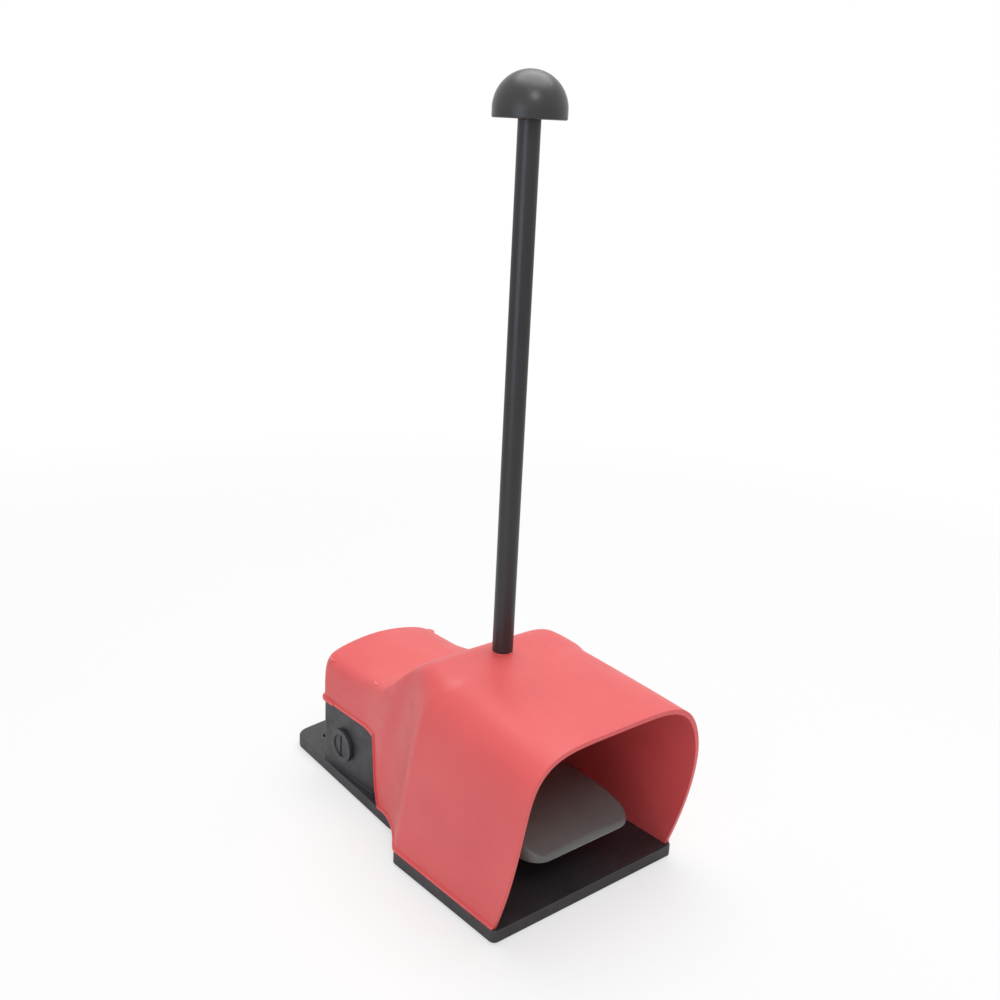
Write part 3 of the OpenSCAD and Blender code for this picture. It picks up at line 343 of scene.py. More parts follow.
def filletProfile(points, radii, steps=5):
    # rounds the inner corners of an open (radius, height) profile
    out = [points[0]]
    for i in range(1, len(points) - 1):
        p, a, b = (Vector((*points[j], 0)) for j in (i, i - 1, i + 1))
        r = radii[i]
        if r <= 0:
            out.append(points[i])
            continue
        toA, toB = (a - p).normalized(), (b - p).normalized()
        half = toA.angle(toB) / 2
        reach = r / math.tan(half)
        centre = p + (toA + toB).normalized() * (r / math.sin(half))
        first, last = p + toA * reach - centre, p + toB * reach - centre
        turn = first.angle(last)
        for k in range(steps + 1):
            t = k / steps
            arm = (first * math.sin((1 - t) * turn) + last * math.sin(t * turn)) / math.sin(turn)
            out.append(tuple((centre + arm)[:2]))
    out.append(points[-1])
    return out


def mix(a, b, t):
    return a + (b - a) * t


def clamp01(t):
    return min(max(t, 0.0), 1.0)


def ease(t):
    c = clamp01(t)
    return c * c * (3 - 2 * c)


baseLow, baseHigh = nodeBox("base_housing")
guardLow, guardHigh = nodeBox("guard_cover")
gasketLow, gasketHigh = nodeBox("cover_gasket")
plateTop = nodeBox("stop_buffers")[0].z
frontY = baseLow.y

rodLow, rodHigh = nodeBox("carrying_rod")
knobLow, knobHigh = nodeBox("knob")
rodTurning = {"seat": 139.7, "stud": 6.0, "footChamfer": 1.0}
knobTurning = {"band": 5.5, "lowerRounding": 1.2, "studHole": 8.5, "holeDepth": 15.0}
insideForm = {
    "bossRadius": 5.5, "boreRadius": 2.52, "coverBossX": 42.0, "coverBossY": (39.0, 97.5),
    "skirtBossX": 71.5, "skirtBossY": -53.5, "skirtBossHeight": 17.0, "skirtBossRoof": 2.0,
    "rodBossRadius": 13.0, "rodBossDepth": 8.0, "rodSeatDepth": 1.5, "rodSeatPlay": 0.5,
    "lipReach": 18.0, "lipPlay": 0.05,
}

# the guard: arches set at stations behind the platform's front edge, as in the construction model
guardForm = {
    "wall": 3.0, "ridge": 139.5, "brow": 131.0, "browCurve": 1.23, "coverTop": 100.0, "coverSag": 8.0,
    "overhang": 17.0, "platform": 107.0, "footWidth": 157.0, "neckWidth": 115.0,
    "lipWidth": 1.2, "lipHeight": 2.2,
    "hoodSquareness": 5.0, "coverSquareness": 16.0, "squareFrom": 99.0,
    "rimStation": 3.0, "neckStation": 150.0, "skirtEnd": 155.0, "coverStation": 172.0,
    "narrowFrom": 158.0, "narrowTo": 184.0, "ridgeFrom": 103.5, "levelFrom": 170.0,
    "uprightFrom": 185.0, "sagTo": 205.0, "flare": 1.7, "rimDraft": -0.008, "draft": 0.025,
    "backEdge": 2.0, "backCorner": 8.0,
    "leanGain": 6.0, "mouthKnee": 0.75, "mouthCurve": 1.7, "neckCurve": 1.5, "roofFrom": 0.65, "roofBlend": 0.3,
    "sideSteps": 18, "topSteps": 18, "archCounts": (24, 36, 20, 16), "backSteps": 12, "flareLead": 7.0,
    "rimRounding": 1.0,
}
coverWidth = gasketHigh.x - gasketLow.x + 2
backStation = gasketHigh.y + 1 - frontY
seamZ = gasketHigh.z
g = guardForm


def fall(s):
    return (1 - clamp01((s - g["platform"]) / (g["neckStation"] - g["platform"]))) ** g["flare"]


def softFall(s):
    return (fall(s - 3) + fall(s - 1) + fall(s + 1) + fall(s + 3)) / 4


def halfWidth(s):
    narrow = ease((s - g["narrowFrom"]) / (g["narrowTo"] - g["narrowFrom"]))
    return mix(mix(g["neckWidth"], coverWidth, narrow), g["footWidth"], softFall(s)) / 2


def squareness(s):
    return mix(g["hoodSquareness"], g["coverSquareness"],
               ease((s - g["squareFrom"]) / (g["skirtEnd"] - g["squareFrom"])))


def footZ(s):
    return mix(plateTop, seamZ, clamp01((s - g["skirtEnd"]) / (g["coverStation"] - g["skirtEnd"])))


def fullLean(s):
    start = g["overhang"] + g["rimStation"]
    if s < g["neckStation"]:
        return start + g["leanGain"] * s / g["neckStation"]
    upright = ease((s - g["neckStation"]) / (g["uprightFrom"] - g["neckStation"]))
    return (start + g["leanGain"]) * (1 - upright)


def leanAt(s, k):
    # the mouth has its full lean from the knee of its sides up, the neck only at its crown
    mouth = 1 - (1 - min(k / g["mouthKnee"], 1)) ** g["mouthCurve"]
    return fullLean(s) * mix(mouth, k ** g["neckCurve"], clamp01(s / g["neckStation"]))


def crownLine(y):
    if y < g["ridgeFrom"]:
        back = (g["ridgeFrom"] - y) / (g["ridgeFrom"] + g["overhang"])
        return g["ridge"] - (g["ridge"] - g["brow"]) * max(back, 0) ** g["browCurve"]
    return mix(g["ridge"], g["coverTop"], ease((y - g["ridgeFrom"]) / (g["levelFrom"] - g["ridgeFrom"])))


def crownAt(s):
    return crownLine(s - fullLean(s))


def sideDraft(s):
    return mix(g["rimDraft"], g["draft"], ease(s / g["neckStation"]))


def archZ(s, top, u, k):
    sag = g["coverSag"] * ease((s - g["narrowFrom"]) / (g["sagTo"] - g["narrowFrom"]))
    return plateTop + k * (top - plateTop) - sag * u ** 2 * ease((k - g["roofFrom"]) / g["roofBlend"])


def archPoints(s, inSide, inTop):
    n, w, top = squareness(s), halfWidth(s) - inSide, crownAt(s) - inTop
    corner, high = 0.5 ** (1 / n), top - plateTop
    k0 = (footZ(s) - plateTop) / high
    kLip = k0 + g["lipHeight"] / high
    outside = inSide == 0
    trio = []    # half width, share of it, share of the height
    for k in (k0, mix(k0, kLip, 0.8 if outside else 0.4)):
        trio.append((w + (g["lipWidth"] if outside else 0), (1 - k ** n) ** (1 / n), k))
    for i in range(g["sideSteps"]):
        k = kLip + (corner - kLip) * math.sin(math.pi / 2 * i / g["sideSteps"])
        trio.append((w, (1 - k ** n) ** (1 / n), k))
    for j in range(g["topSteps"] + 1):
        u = corner * math.sin(math.pi / 2 * (1 - j / g["topSteps"]))
        trio.append((w, u, (1 - u ** n) ** (1 / n)))
    half = [Vector((reach * u * (1 - sideDraft(s) * k), frontY + s - leanAt(s, k), archZ(s, top, u, k)))
            for reach, u, k in trio]
    return [Vector((-p.x, p.y, p.z)) for p in half] + [p.copy() for p in reversed(half[:-1])]


def roundedIn(r, d):
    return 0 if d >= r else r - math.sqrt(r * r - (r - d) ** 2)


def wallArches(t):
    lead, backFrom = g["platform"] - g["flareLead"], backStation - g["backCorner"]
    ends = (g["rimStation"], lead, g["skirtEnd"], g["coverStation"], backFrom)
    marks = [mix(a, b, i / n) for a, b, n in zip(ends, ends[1:], g["archCounts"]) for i in range(n)]
    rows = [archPoints(s, t, t) for s in marks + [backFrom]]
    back, r, edge = backStation - t, max(g["backCorner"] - t, 2), max(g["backEdge"] - t, 1)
    for i in range(1, g["backSteps"] + 1):
        left = (back - backFrom) * (1 - math.sin(math.pi / 2 * i / g["backSteps"]))
        rows.append(archPoints(back - left, t + roundedIn(r, min(left, r)), t + roundedIn(edge, min(left, edge))))
    return rows


def loftSkin(bm, rows, inward, closeFirst=False):
    # a chain of edges is extruded from row to row, then one end is closed; gives the open border
    first = chain = [bm.verts.new(p) for p in rows[0]]
    firstEdges = edges = [bm.edges.new(pair) for pair in zip(chain, chain[1:])]
    made, rails = [], [[chain[0]], [chain[-1]]]
    for row in rows[1:]:
        grown = bmesh.ops.extrude_edge_only(bm, edges=edges)["geom"]
        verts = {v for v in grown if isinstance(v, bmesh.types.BMVert)}
        made += [f for f in grown if isinstance(f, bmesh.types.BMFace)]
        linked = {e.other_vert(v): v for v in verts for e in v.link_edges if e.other_vert(v) not in verts}
        chain = [linked[v] for v in chain]
        for vert, point in zip(chain, row):
            vert.co = point
        edges = [bm.edges.get(pair) for pair in zip(chain, chain[1:])]
        rails[0].append(chain[0])
        rails[1].append(chain[-1])
    closed, openEdges = (first[::-1], edges) if closeFirst else (chain, firstEdges)
    made.append(bm.faces.new(closed))
    if inward:
        bmesh.ops.reverse_faces(bm, faces=made)
    feet = [bm.edges.get(pair) for rail in rails for pair in zip(rail, rail[1:])]
    return openEdges + feet + [bm.edges.get((closed[0], closed[-1]))]


def addPlate(bm, outline, lift):
    # a flat plate from its outline, lifted along the vector
    face = bm.faces.new([bm.verts.new(p) for p in outline])
    grown = bmesh.ops.extrude_face_region(bm, geom=[face])["geom"]
    verts = [v for v in grown if isinstance(v, bmesh.types.BMVert)]
    bmesh.ops.translate(bm, verts=verts, vec=lift)
    faces = list({f for v in verts + list(face.verts) for f in v.link_faces})
    bmesh.ops.recalc_face_normals(bm, faces=faces)


def stationAt(y, k):
    s = y
    for i in range(16):
        s = y + leanAt(s, k)
    return s


def guardOutline(y, inset, steps=24):
    # the guard's section in the plane y behind the platform's front edge
    half = []
    n = squareness(y)
    for i in range(steps + 1):
        a = math.pi / 2 * i / steps
        u, k = max(math.cos(a), 0) ** (2 / n), math.sin(a) ** (2 / n)
        s = stationAt(y, k)
        half.append(((halfWidth(s) - inset) * u * (1 - sideDraft(s) * k),
                     archZ(s, crownAt(s) - inset, u, k)))
    return half


def roofHeight(x, y, inset):
    s = y
    for i in range(12):
        n, u = squareness(s), min(abs(x) / (halfWidth(s) - inset), 1)
        k = (1 - u ** n) ** (1 / n)
        s = y + leanAt(s, k)
    return archZ(s, crownAt(s) - inset, u, k)


def roundedPlan(width, y0, y1, r, steps=8):
    plan = []
    for cx, cy, start in ((1, y0, -90), (1, y1, 0), (-1, y1, 90), (-1, y0, 180)):
        x, y = cx * (width / 2 - r), cy + r if cy == y0 else cy - r
        plan += [(x + r * math.cos(math.radians(start + 90 * i / steps)),
                  y + r * math.sin(math.radians(start + 90 * i / steps))) for i in range(steps + 1)]
    return plan


def makeGuardInside():
    # the wall, bosses and rod seat inside the guard, in one piece with the lip round the cover's back
    bm = bmesh.new()
    f, wall, tubFront = insideForm, g["wall"], gasketLow.y
    half = [p for p in guardOutline(tubFront - frontY + wall / 2, wall / 2) if p[1] > seamZ]
    half = [(half[0][0], seamZ)] + half
    outline = [(x, tubFront, z) for x, z in half] + [(-x, tubFront, z) for x, z in reversed(half[:-1])]
    addPlate(bm, outline, (0, wall, 0))
    ro, ri = f["bossRadius"], f["boreRadius"]
    for x in (-1, 1):
        for y in f["coverBossY"]:
            top = roofHeight(f["coverBossX"], y - frontY, wall / 2)
            tube = [(ri, seamZ), (ro, seamZ), (ro, top), (ri, top), (ri, seamZ)]
            spunPart(bm, tube, (x * f["coverBossX"], y, 0), steps=40)
        top = plateTop + f["skirtBossHeight"]
        blind = [(0, top - f["skirtBossRoof"]), (ri, top - f["skirtBossRoof"])]
        profile = filletProfile([(ri, plateTop), (ro, plateTop), (ro, top), (0, top)], [0, 0, 0.8, 0])
        spunPart(bm, blind + profile, (x * f["skirtBossX"], f["skirtBossY"], 0), steps=40)
    seat, bore, rim = rodTurning["seat"], rodTurning["stud"] + 0.05, f["rodBossRadius"]
    rodX, rodY = (rodLow.x + rodHigh.x) / 2, (rodLow.y + rodHigh.y) / 2
    low, step, socket = seat - f["rodBossDepth"], seat - f["rodSeatDepth"], rodHigh.x - rodX + f["rodSeatPlay"]
    pad = filletProfile([(bore, low), (rim, low), (rim, step), (socket, step), (socket, seat), (bore, seat)],
                        [0, 0.8, 0, 0, 0.3, 0])
    spunPart(bm, pad + [pad[0]], (rodX, rodY, 0))
    lip = 1 + g["lipWidth"] - f["lipPlay"]
    width, fromY = gasketHigh.x - gasketLow.x, gasketHigh.y - f["lipReach"]
    outer = roundedPlan(width + 2 * lip, gasketLow.y - lip, gasketHigh.y + lip, g["backCorner"] - 1 + lip, 10)
    inner = roundedPlan(width - 5, gasketLow.y, gasketHigh.y - 2.5, 4.5, 10)
    ring = [p for p in outer if p[1] > fromY]
    inside = [p for p in inner if p[1] > fromY]
    ends = [(ring[-1][0], fromY), (inside[-1][0], fromY)]
    outline = [(ring[0][0], fromY)] + ring + ends + inside[::-1] + [(inside[0][0], fromY)]
    addPlate(bm, [(x, y, seamZ) for x, y in outline], (0, 0, 0.8 * g["lipHeight"] - f["lipPlay"]))
    return finishPiece("guardFixings", bm, guardPlastic, "base")


def makeGuard():
    bm = bmesh.new()
    outerRim = loftSkin(bm, wallArches(0), False)
    innerRim = loftSkin(bm, wallArches(g["wall"]), True)
    bmesh.ops.bridge_loops(bm, edges=outerRim + innerRim)
    if bm.calc_volume(signed=True) < 0:
        bmesh.ops.reverse_faces(bm, faces=bm.faces)
    rims = [e for e in outerRim + innerRim if e.is_valid]
    bmesh.ops.bevel(bm, geom=rims, offset=g["rimRounding"], segments=3, profile=0.5, affect="EDGES", material=-1,
                    clamp_overlap=True)
    return finishPiece("guardShell", bm, guardPlastic, "base", ["guard_cover"], smoothAngle=42)


guardShell = makeGuard()
guardFixings = makeGuardInside()
print("guard lofted:", len(guardShell.data.polygons), "faces")


# the base: the node's own form with its outer edges rounded
baseDress = {"edgeRounding": 0.7, "sharpFrom": 35, "segments": 3, "sideFrom": 49.5, "flangeFrom": 14.0}


def mergedCopy(node):
    bm = bmesh.new()
    bm.from_mesh(frame["nodes"][node].data)
    bmesh.ops.scale(bm, vec=(1 / mm,) * 3, verts=bm.verts)
    bmesh.ops.remove_doubles(bm, verts=bm.verts, dist=2e-3)
    bmesh.ops.dissolve_limit(bm, angle_limit=math.radians(0.5), verts=bm.verts, edges=bm.edges)
    return bm


def sharpEdges(bm, angle, wanted):
    return [e for e in bm.edges if len(e.link_faces) == 2 and e.calc_face_angle(0) > math.radians(angle)
            and wanted(*(v.co for v in e.verts))]


def roundEdges(bm, edges, width, segments):
    bmesh.ops.bevel(bm, geom=edges, offset=width, segments=segments, profile=0.5, affect="EDGES", material=-1,
                    clamp_overlap=False)


def onPlateRim(a, b):
    # level edges of the plate's outline, above and below, and its upright corners
    level = all(min(abs(p.z - plateTop), abs(p.z - baseLow.z)) < 0.05 for p in (a, b))
    flangeY = gasketHigh.y + baseDress["flangeFrom"]
    return level and all(abs(p.x) > baseDress["sideFrom"] or p.y > flangeY or p.y < frontY + 0.5 for p in (a, b))


def makeBase():
    bm = mergedCopy("base_housing")
    rim = sharpEdges(bm, baseDress["sharpFrom"], onPlateRim)
    roundEdges(bm, rim, baseDress["edgeRounding"], baseDress["segments"])
    return finishPiece("baseMoulding", bm, baseThermoset, "base", ["base_housing"])


baseMoulding = makeBase()
print("base dressed:", len(baseMoulding.data.polygons), "faces")

# the treadle pedal: a soft-edged skin over its hub, ribs and push arm
pinLow, pinHigh = nodeBox("hinge_pin")
pedalLow, pedalHigh = nodeBox("pedal")
hingeY, hingeZ = (pinLow.y + pinHigh.y) / 2, (pinLow.z + pinHigh.z) / 2
pedalForm = {
    "noseWidth": 90.0, "rearWidth": 78.0, "corner": 14.0, "skin": 3.5, "edge": 4.5, "sag": 1.2,
    "low": 38.0, "nose": 41.5, "crest": 62.0, "noseRounding": 2.4, "hub": 9.0, "bore": 5.5, "bushing": 14.0,
    "armThick": 10.0, "armHalf": 12.0, "pushHalf": 24.0, "pushZ": 22.0, "padHalf": 4.0, "rimRounding": 0.6,
    "ribX": 28.0, "ribHalf": 1.5, "ribSink": 1.5, "ribMarks": (8, 16, 26, 40, 60, 80, 100, 118, 128),
    "boreStop": 1.4, "cupPlay": 0.6, "cupWall": 2.5, "cupFoot": 46.0,
}
pf = pedalForm
pedalLength = hingeY - pedalLow.y


def bezier(poles, t):
    return [sum(c * q[i] for c, q in zip(((1 - t) ** 3, 3 * t * (1 - t) ** 2, 3 * t * t * (1 - t), t ** 3), poles))
            for i in (0, 1)]


topCurve = [bezier(((0, pf["nose"]), (16, mix(pf["nose"], pf["crest"], 0.45)), (34, pf["crest"]),
                    (pedalLength, hingeZ + pf["hub"])), i / 120) for i in range(121)]


def pedalTop(d):
    after = next((i for i, p in enumerate(topCurve) if p[0] >= d), 120)
    a, b = topCurve[max(after - 1, 0)], topCurve[after]
    z = b[1] if b[0] == a[0] else mix(a[1], b[1], (d - a[0]) / (b[0] - a[0]))
    return z - roundedIn(pf["noseRounding"], max(d, 0))


def pedalSection(d, inset):
    r = pf["corner"]
    straight = mix(pf["noseWidth"], pf["rearWidth"], max(d - r, 0) / (pedalLength - r)) / 2
    w = straight - roundedIn(r, d) - inset
    low = pf["low"] + 4 * d / pedalLength
    top = max(pedalTop(d) - inset, low + 0.4)
    e = max(min(pf["edge"] - inset, 0.8 * (top - low), 0.6 * w), 0.3)
    half = [(w, low), (w, mix(low, top - e, 0.5)), (w, top - e)]
    bends = [math.pi / 2 * i / 7 for i in range(1, 8)]
    half += [(w - e + e * math.cos(a), top - e + e * math.sin(a)) for a in bends]
    flat = w - e
    half += [(flat * (1 - i / 6), top) for i in range(1, 7)]
    half = [(x, z - pf["sag"] * (x / w) ** 2 * clamp01((z - low) / 6)) for x, z in half]
    y = hingeY - pedalLength + d
    return [Vector((-x, y, z)) for x, z in half] + [Vector((x, y, z)) for x, z in reversed(half[:-1])]


def addBlock(bm, low, high, rounding):
    made = bmesh.ops.create_cube(bm, size=1)["verts"]
    size = Vector(high) - Vector(low)
    bmesh.ops.scale(bm, vec=size, verts=made)
    bmesh.ops.translate(bm, vec=(Vector(low) + Vector(high)) / 2, verts=made)
    roundEdges(bm, list({e for v in made for e in v.link_edges}), rounding, 2)


def makePedal():
    bm = bmesh.new()
    marks = [0, 0.15, 0.4, 0.8, 1.3, 1.9, 2.6, 3.5, 4.6, 6, 7.6, 9.4, 11.5, 14]
    marks += [mix(14, pedalLength, i / 34) for i in range(1, 35)]
    t = pf["skin"]
    skinRows = [pedalSection(t + d * (pedalLength - t) / pedalLength, t) for d in marks]
    outerRim = loftSkin(bm, [pedalSection(d, 0) for d in marks], False, closeFirst=True)
    innerRim = loftSkin(bm, skinRows, True, closeFirst=True)
    bmesh.ops.bridge_loops(bm, edges=outerRim + innerRim)
    bmesh.ops.recalc_face_normals(bm, faces=bm.faces)
    if bm.calc_volume(signed=True) < 0:
        bmesh.ops.reverse_faces(bm, faces=bm.faces)
    bmesh.ops.bevel(bm, geom=[e for e in outerRim if e.is_valid], offset=pf["rimRounding"], segments=2, profile=0.5,
                    affect="EDGES", material=-1, clamp_overlap=True)
    # the hub has a wide bore at each end for the bushes, and clears the pin between them
    half, bore, narrow = pf["rearWidth"] / 2 + 1, pf["bore"], pf["bore"] - pf["boreStop"]
    inset = half - pf["bushing"]
    hub = filletProfile([(narrow, -inset), (bore, -inset), (bore, -half), (pf["hub"], -half),
                         (pf["hub"], half), (bore, half), (bore, inset), (narrow, inset)],
                        [0, 0, 0.3, 0.8, 0.8, 0.3, 0, 0])
    spunPart(bm, hub + [hub[0]], (0, hingeY, hingeZ), axis="X", steps=56)
    for x in (-pf["ribX"], pf["ribX"]):
        line = [(d, pedalTop(d) - pf["ribSink"]) for d in pf["ribMarks"]]
        line += [(pf["ribMarks"][-1], pf["low"] + 4), (pf["ribMarks"][0], pf["low"] + 0.4)]
        addPlate(bm, [(x - pf["ribHalf"], pedalLow.y + d, z) for d, z in line], (2 * pf["ribHalf"], 0, 0))
    back, face = hingeY - pf["armThick"] / 2, hingeY + pf["armThick"] / 2
    padLow, padHigh = pf["pushZ"] - pf["padHalf"], pf["pushZ"] + pf["padHalf"]
    addBlock(bm, (-pf["armHalf"], back, padLow), (pf["armHalf"], face, hingeZ - 3), 0.6)
    addBlock(bm, (-pf["pushHalf"], back, padLow), (pf["pushHalf"], face, padHigh), 0.8)
    springLow, springHigh = nodeBox("return_spring")
    springY, inner = (springLow.y + springHigh.y) / 2, (springHigh.x - springLow.x) / 2 + pf["cupPlay"]
    outer, roof = inner + pf["cupWall"], pedalTop(springY - pedalLow.y) - 1
    cup = [(inner, pf["cupFoot"]), (outer, pf["cupFoot"]), (outer, roof), (inner, roof)]
    spunPart(bm, cup + [cup[0]], (0, springY, 0), steps=48)
    return finishPiece("treadlePedal", bm, treadlePlastic, "pedal_assembly", ["pedal"], smoothAngle=38)


treadlePedal = makePedal()
print("pedal shaped:", len(treadlePedal.data.polygons), "faces")

# rod and knob, turned about the rod's axis
rodLacquer = mouldedPlastic("rodLacquer", {
    "colour": (0.022, 0.02, 0.022), "shade": (0.015, 0.014, 0.016), "shadeAmount": 0.7, "wearAndHighlight": (0.07, 0.065, 0.065),
    "roughness": 0.36, "glossSpread": 0.08, "cloudScale": 18.0, "wearAndHighlightScale": 90.0, "wearAndHighlightAmount": 0.5,
    "scuffScale": 50.0, "scuffStretch": (1, 1, 0.12), "grainScale": 700.0, "grainStrength": 0.2,
    "grainDepth": 0.0002, "waveStrength": 0.05, "waveDepth": 0.001,
})


def makeRod():
    bm = bmesh.new()
    r = (rodHigh.x - rodLow.x) / 2
    seatZ, stud = rodTurning["seat"], rodTurning["stud"]
    profile = filletProfile([(0, rodLow.z), (stud, rodLow.z), (stud, seatZ), (r, seatZ), (r, knobLow.z),
                             (stud, knobLow.z), (stud, rodHigh.z), (0, rodHigh.z)],
                            [0, 0.4, 0, rodTurning["footChamfer"], 0.3, 0, 0.4, 0])
    spunPart(bm, profile, ((rodLow.x + rodHigh.x) / 2, (rodLow.y + rodHigh.y) / 2, 0), steps=72)
    return finishPiece("carryingRod", bm, rodLacquer, "base", ["carrying_rod"])


def makeKnob():
    bm = bmesh.new()
    r = (knobHigh.x - knobLow.x) / 2
    band = knobTurning["band"]
    dome = [(r * math.cos(a), knobLow.z + band + r * math.sin(a)) for a in (math.pi / 2 * i / 40 for i in range(41))]
    dome[-1] = (0, dome[-1][1])
    hole, deep = knobTurning["studHole"], knobTurning["holeDepth"]
    foot = filletProfile([(0, knobLow.z + deep), (hole, knobLow.z + deep), (hole, knobLow.z), (r, knobLow.z), dome[0]],
                         [0, 0, 0.5, knobTurning["lowerRounding"], 0])
    spunPart(bm, foot + dome[1:], ((knobLow.x + knobHigh.x) / 2, (knobLow.y + knobHigh.y) / 2, 0), steps=96)
    return finishPiece("knobBall", bm, knobPlastic, "base", ["knob"])


carryingRod = makeRod()
knobBall = makeKnob()
print("rod and knob turned")


# small parts keep their own form: a merged copy gets broken edges, springs get round wire
smallParts = {
    "sidePlug": ("side_plug", plugPolyamide, "black_moulding", 0.35),
    "plugNut": ("plug_nut", plugPolyamide, "black_moulding", 0.3),
    "plugSeal": ("plug_seal", sealRubber, "rubber", 0.2),
    "rubberFeet": ("rubber_feet", footRubber, "rubber", 0.4),
    "tubGasket": ("cover_gasket", sealRubber, "rubber", 0.25),
    "stopBuffers": ("stop_buffers", footRubber, "rubber", 0.7),
    "plungerSeals": ("plunger_seals", sealRubber, "rubber", 0.25),
    "longCoverScrews": ("long_cover_screws", zincPlate, "zinc_steel", 0.3),
    "shortCoverScrews": ("short_cover_screws", zincPlate, "zinc_steel", 0.3),
    "blockScrews": ("block_screws", zincPlate, "zinc_steel", 0.12),
    "terminalScrews": ("terminal_screws", zincPlate, "zinc_steel", 0.12),
    "earthScrew": ("earth_screw", bushBronze, "bronze", 0.15),
    "earthWasher": ("earth_washer", zincPlate, "zinc_steel", 0.12),
    "hingePin": ("hinge_pin", axleSteel, "zinc_steel", 0.3),
    "pinClips": ("pin_clips", coilSteel, "spring_steel", 0.15),
    "hingeBushes": ("hinge_bushes", bushBronze, "bronze", 0.2),
    "rodWasher": ("rod_washer", zincPlate, "zinc_steel", 0.3),
    "rodLockWasher": ("rod_lock_washer", coilSteel, "spring_steel", 0.25),
    "rodNut": ("rod_nut", zincPlate, "zinc_steel", 0.4),
    "knobInsert": ("knob_insert", bushBronze, "bronze", 0.25),
    "blockCaseLeft": ("block_case_left", caseResin, "block_plastic", 0.3),
    "blockCaseRight": ("block_case_right", caseResin, "block_plastic", 0.3),
    "blockLidLeft": ("block_lid_left", lidResin, "block_plastic", 0.3),
    "blockLidRight": ("block_lid_right", lidResin, "block_plastic", 0.3),
    "plungerLeft": ("plunger_left", plungerAcetal, "plunger_plastic", 0.2),
    "plungerRight": ("plunger_right", plungerAcetal, "plunger_plastic", 0.2),
    "contactBridgeLeft": ("contact_bridge_left", contactCopper, "bronze", 0.1),
    "contactBridgeRight": ("contact_bridge_right", contactCopper, "bronze", 0.1),
    "fixedContactsLeft": ("fixed_contacts_left", contactCopper, "bronze", 0.1),
    "fixedContactsRight": ("fixed_contacts_right", contactCopper, "bronze", 0.1),
}
coils = {
    "returnCoil": "return_spring",
    "contactCoilLeft": "contact_spring_left",
    "contactCoilRight": "contact_spring_right",
}
bodyOf = {node: name for name, nodes in frame["record"]["behaviour"]["bodies"].items() for node in nodes}


def makeSmallPart(name, node, finish, rounding):
    bm = mergedCopy(node)
    edges = sharpEdges(bm, 40, lambda a, b: (a - b).length > 1.2 * rounding)
    bmesh.ops.bevel(bm, geom=edges, offset=rounding, segments=2, profile=0.5, affect="EDGES", material=-1,
                    clamp_overlap=True)
    return finishPiece(name, bm, finish, bodyOf[node], [node], smoothAngle=38)


def makeCoil(name, node):
    bm = mergedCopy(node)
    wire = finishPiece(name, bm, coilSteel, bodyOf[node], [node], smoothAngle=80, weighted=False)
    rounder = wire.modifiers.new("roundWire", "SUBSURF")
    rounder.levels = rounder.render_levels = 1
    return wire


for name, (node, finish, slotName, rounding) in smallParts.items():
    makeSmallPart(name, node, finish, rounding)
for name, node in coils.items():
    makeCoil(name, node)
print("small parts dressed:", len(smallParts) + len(coils))

# floor and light
floorForm = {"size": 12.0, "colour": (0.86, 0.86, 0.86), "glowNear": 0.62, "glowFrom": 0.35, "glowTo": 1.1}
lamps = {
    "overhead": {"place": (0.25, 0.1, 1.5), "aim": (0, 0, 0.1), "size": 1.4, "power": 15.0, "tint": (1, 1, 1)},
    "frontWindow": {"place": (-0.55, -1.15, 1.5), "aim": (0, 0, 0.3), "size": 0.55, "power": 5.0, "tint": (1, 1, 1)},
    "lowFill": {"place": (-1.3, -0.45, 0.3), "aim": (0, 0, 0.05), "size": 0.9, "power": 3.5, "tint": (0.7, 0.82, 1)},
}
surroundings = {"light": 0.5}


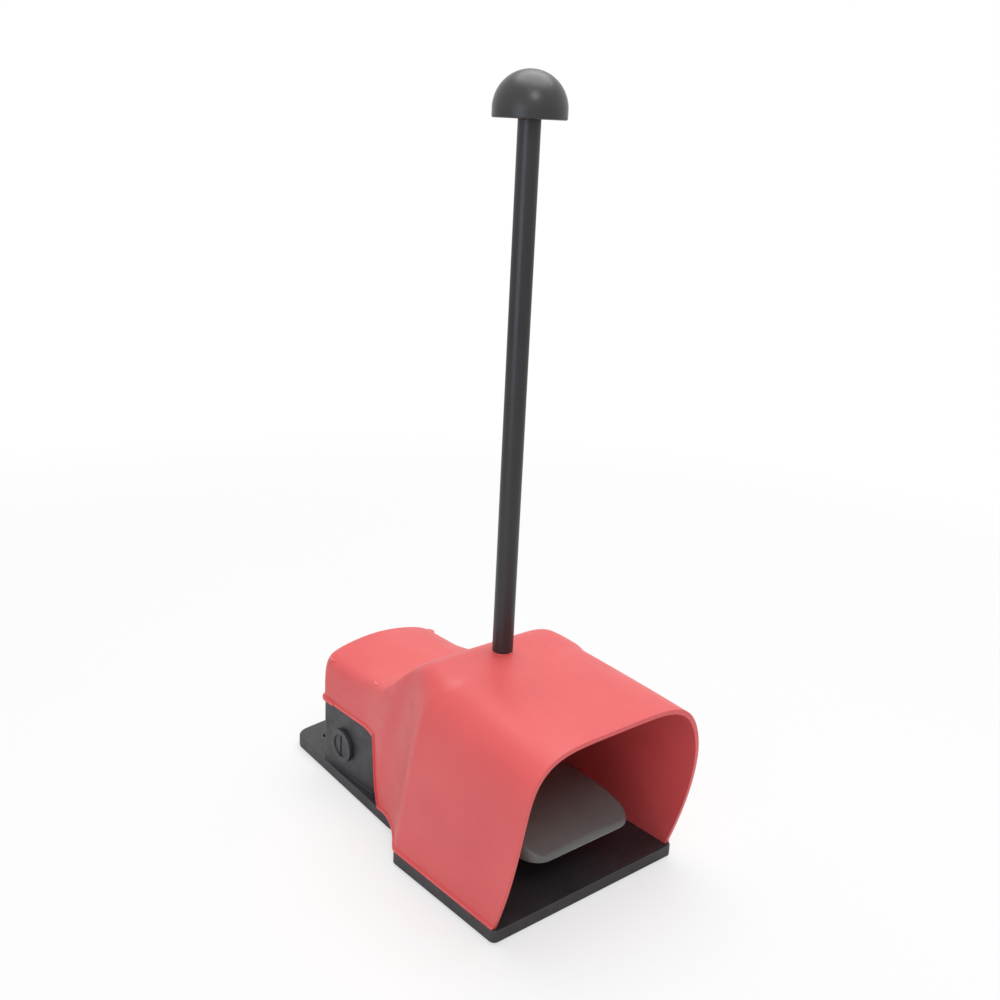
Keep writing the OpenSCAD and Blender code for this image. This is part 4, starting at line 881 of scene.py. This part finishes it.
def makeFloor(s):
    bm = bmesh.new()
    bmesh.ops.create_grid(bm, x_segments=2, y_segments=2, size=s["size"])
    mesh = bpy.data.meshes.new("studioFloor")
    bm.to_mesh(mesh)
    bm.free()
    floor = bpy.data.objects.new("studioFloor", mesh)
    bpy.context.scene.collection.objects.link(floor)
    mat, shader = newFinish("floorPaper", s["colour"], 0.8, Specular_IOR_Level=0.1)
    tree = mat.node_tree
    out = tree.nodes["Material Output"]
    glow = addNode(mat, "ShaderNodeEmission")
    glow.inputs["Color"].default_value = (1, 1, 1, 1)
    seen = addNode(mat, "ShaderNodeLightPath")
    place = addNode(mat, "ShaderNodeTexCoord")
    reach = addNode(mat, "ShaderNodeVectorMath", operation="LENGTH")
    joinNodes(mat, place, "Object", reach, 0)
    share = remapped(mat, reach, "Value", s["glowNear"], 1.0, s["glowFrom"], s["glowTo"])
    seenShare = addNode(mat, "ShaderNodeMath", operation="MULTIPLY")
    joinNodes(mat, seen, "Is Camera Ray", seenShare, 0)
    joinNodes(mat, share, "Result", seenShare, 1)
    blend = addNode(mat, "ShaderNodeMixShader")
    joinNodes(mat, seenShare, "Value", blend, 0)
    joinNodes(mat, shader, "BSDF", blend, 1)
    joinNodes(mat, glow, "Emission", blend, 2)
    joinNodes(mat, blend, "Shader", out, "Surface")
    mesh.materials.append(mat)


def makeLamps(rows):
    for name, s in rows.items():
        lamp = bpy.data.lights.new(name, "AREA")
        lamp.shape = "DISK"
        lamp.size = s["size"]
        lamp.energy = s["power"]
        lamp.color = s["tint"]
        holder = bpy.data.objects.new(name, lamp)
        bpy.context.scene.collection.objects.link(holder)
        holder.location = s["place"]
        holder.rotation_euler = (Vector(s["aim"]) - Vector(s["place"])).to_track_quat("-Z", "Y").to_euler()


def makeSurroundings(s):
    world = bpy.data.worlds.new("paleStudio")
    bpy.context.scene.world = world
    world.use_nodes = True
    tree = world.node_tree
    soft = tree.nodes["Background"]
    soft.inputs["Color"].default_value = (1, 1, 1, 1)
    soft.inputs["Strength"].default_value = s["light"]
    white = tree.nodes.new("ShaderNodeBackground")
    white.inputs["Color"].default_value = (1, 1, 1, 1)
    white.inputs["Strength"].default_value = 1.0
    path = tree.nodes.new("ShaderNodeLightPath")
    blend = tree.nodes.new("ShaderNodeMixShader")
    either = tree.nodes.new("ShaderNodeMath")
    either.operation = "MAXIMUM"
    anyOf = tree.nodes.new("ShaderNodeMath")
    anyOf.operation = "MAXIMUM"
    tree.links.new(path.outputs["Is Camera Ray"], either.inputs[0])
    tree.links.new(path.outputs["Is Glossy Ray"], either.inputs[1])
    tree.links.new(either.outputs[0], anyOf.inputs[0])
    tree.links.new(path.outputs["Is Transmission Ray"], anyOf.inputs[1])
    tree.links.new(anyOf.outputs[0], blend.inputs[0])
    tree.links.new(soft.outputs[0], blend.inputs[1])
    tree.links.new(white.outputs[0], blend.inputs[2])
    tree.links.new(blend.outputs[0], tree.nodes["World Output"].inputs["Surface"])


makeFloor(floorForm)
makeLamps(lamps)
makeSurroundings(surroundings)
bpy.context.scene.view_settings.view_transform = "Standard"
print("stage lit")
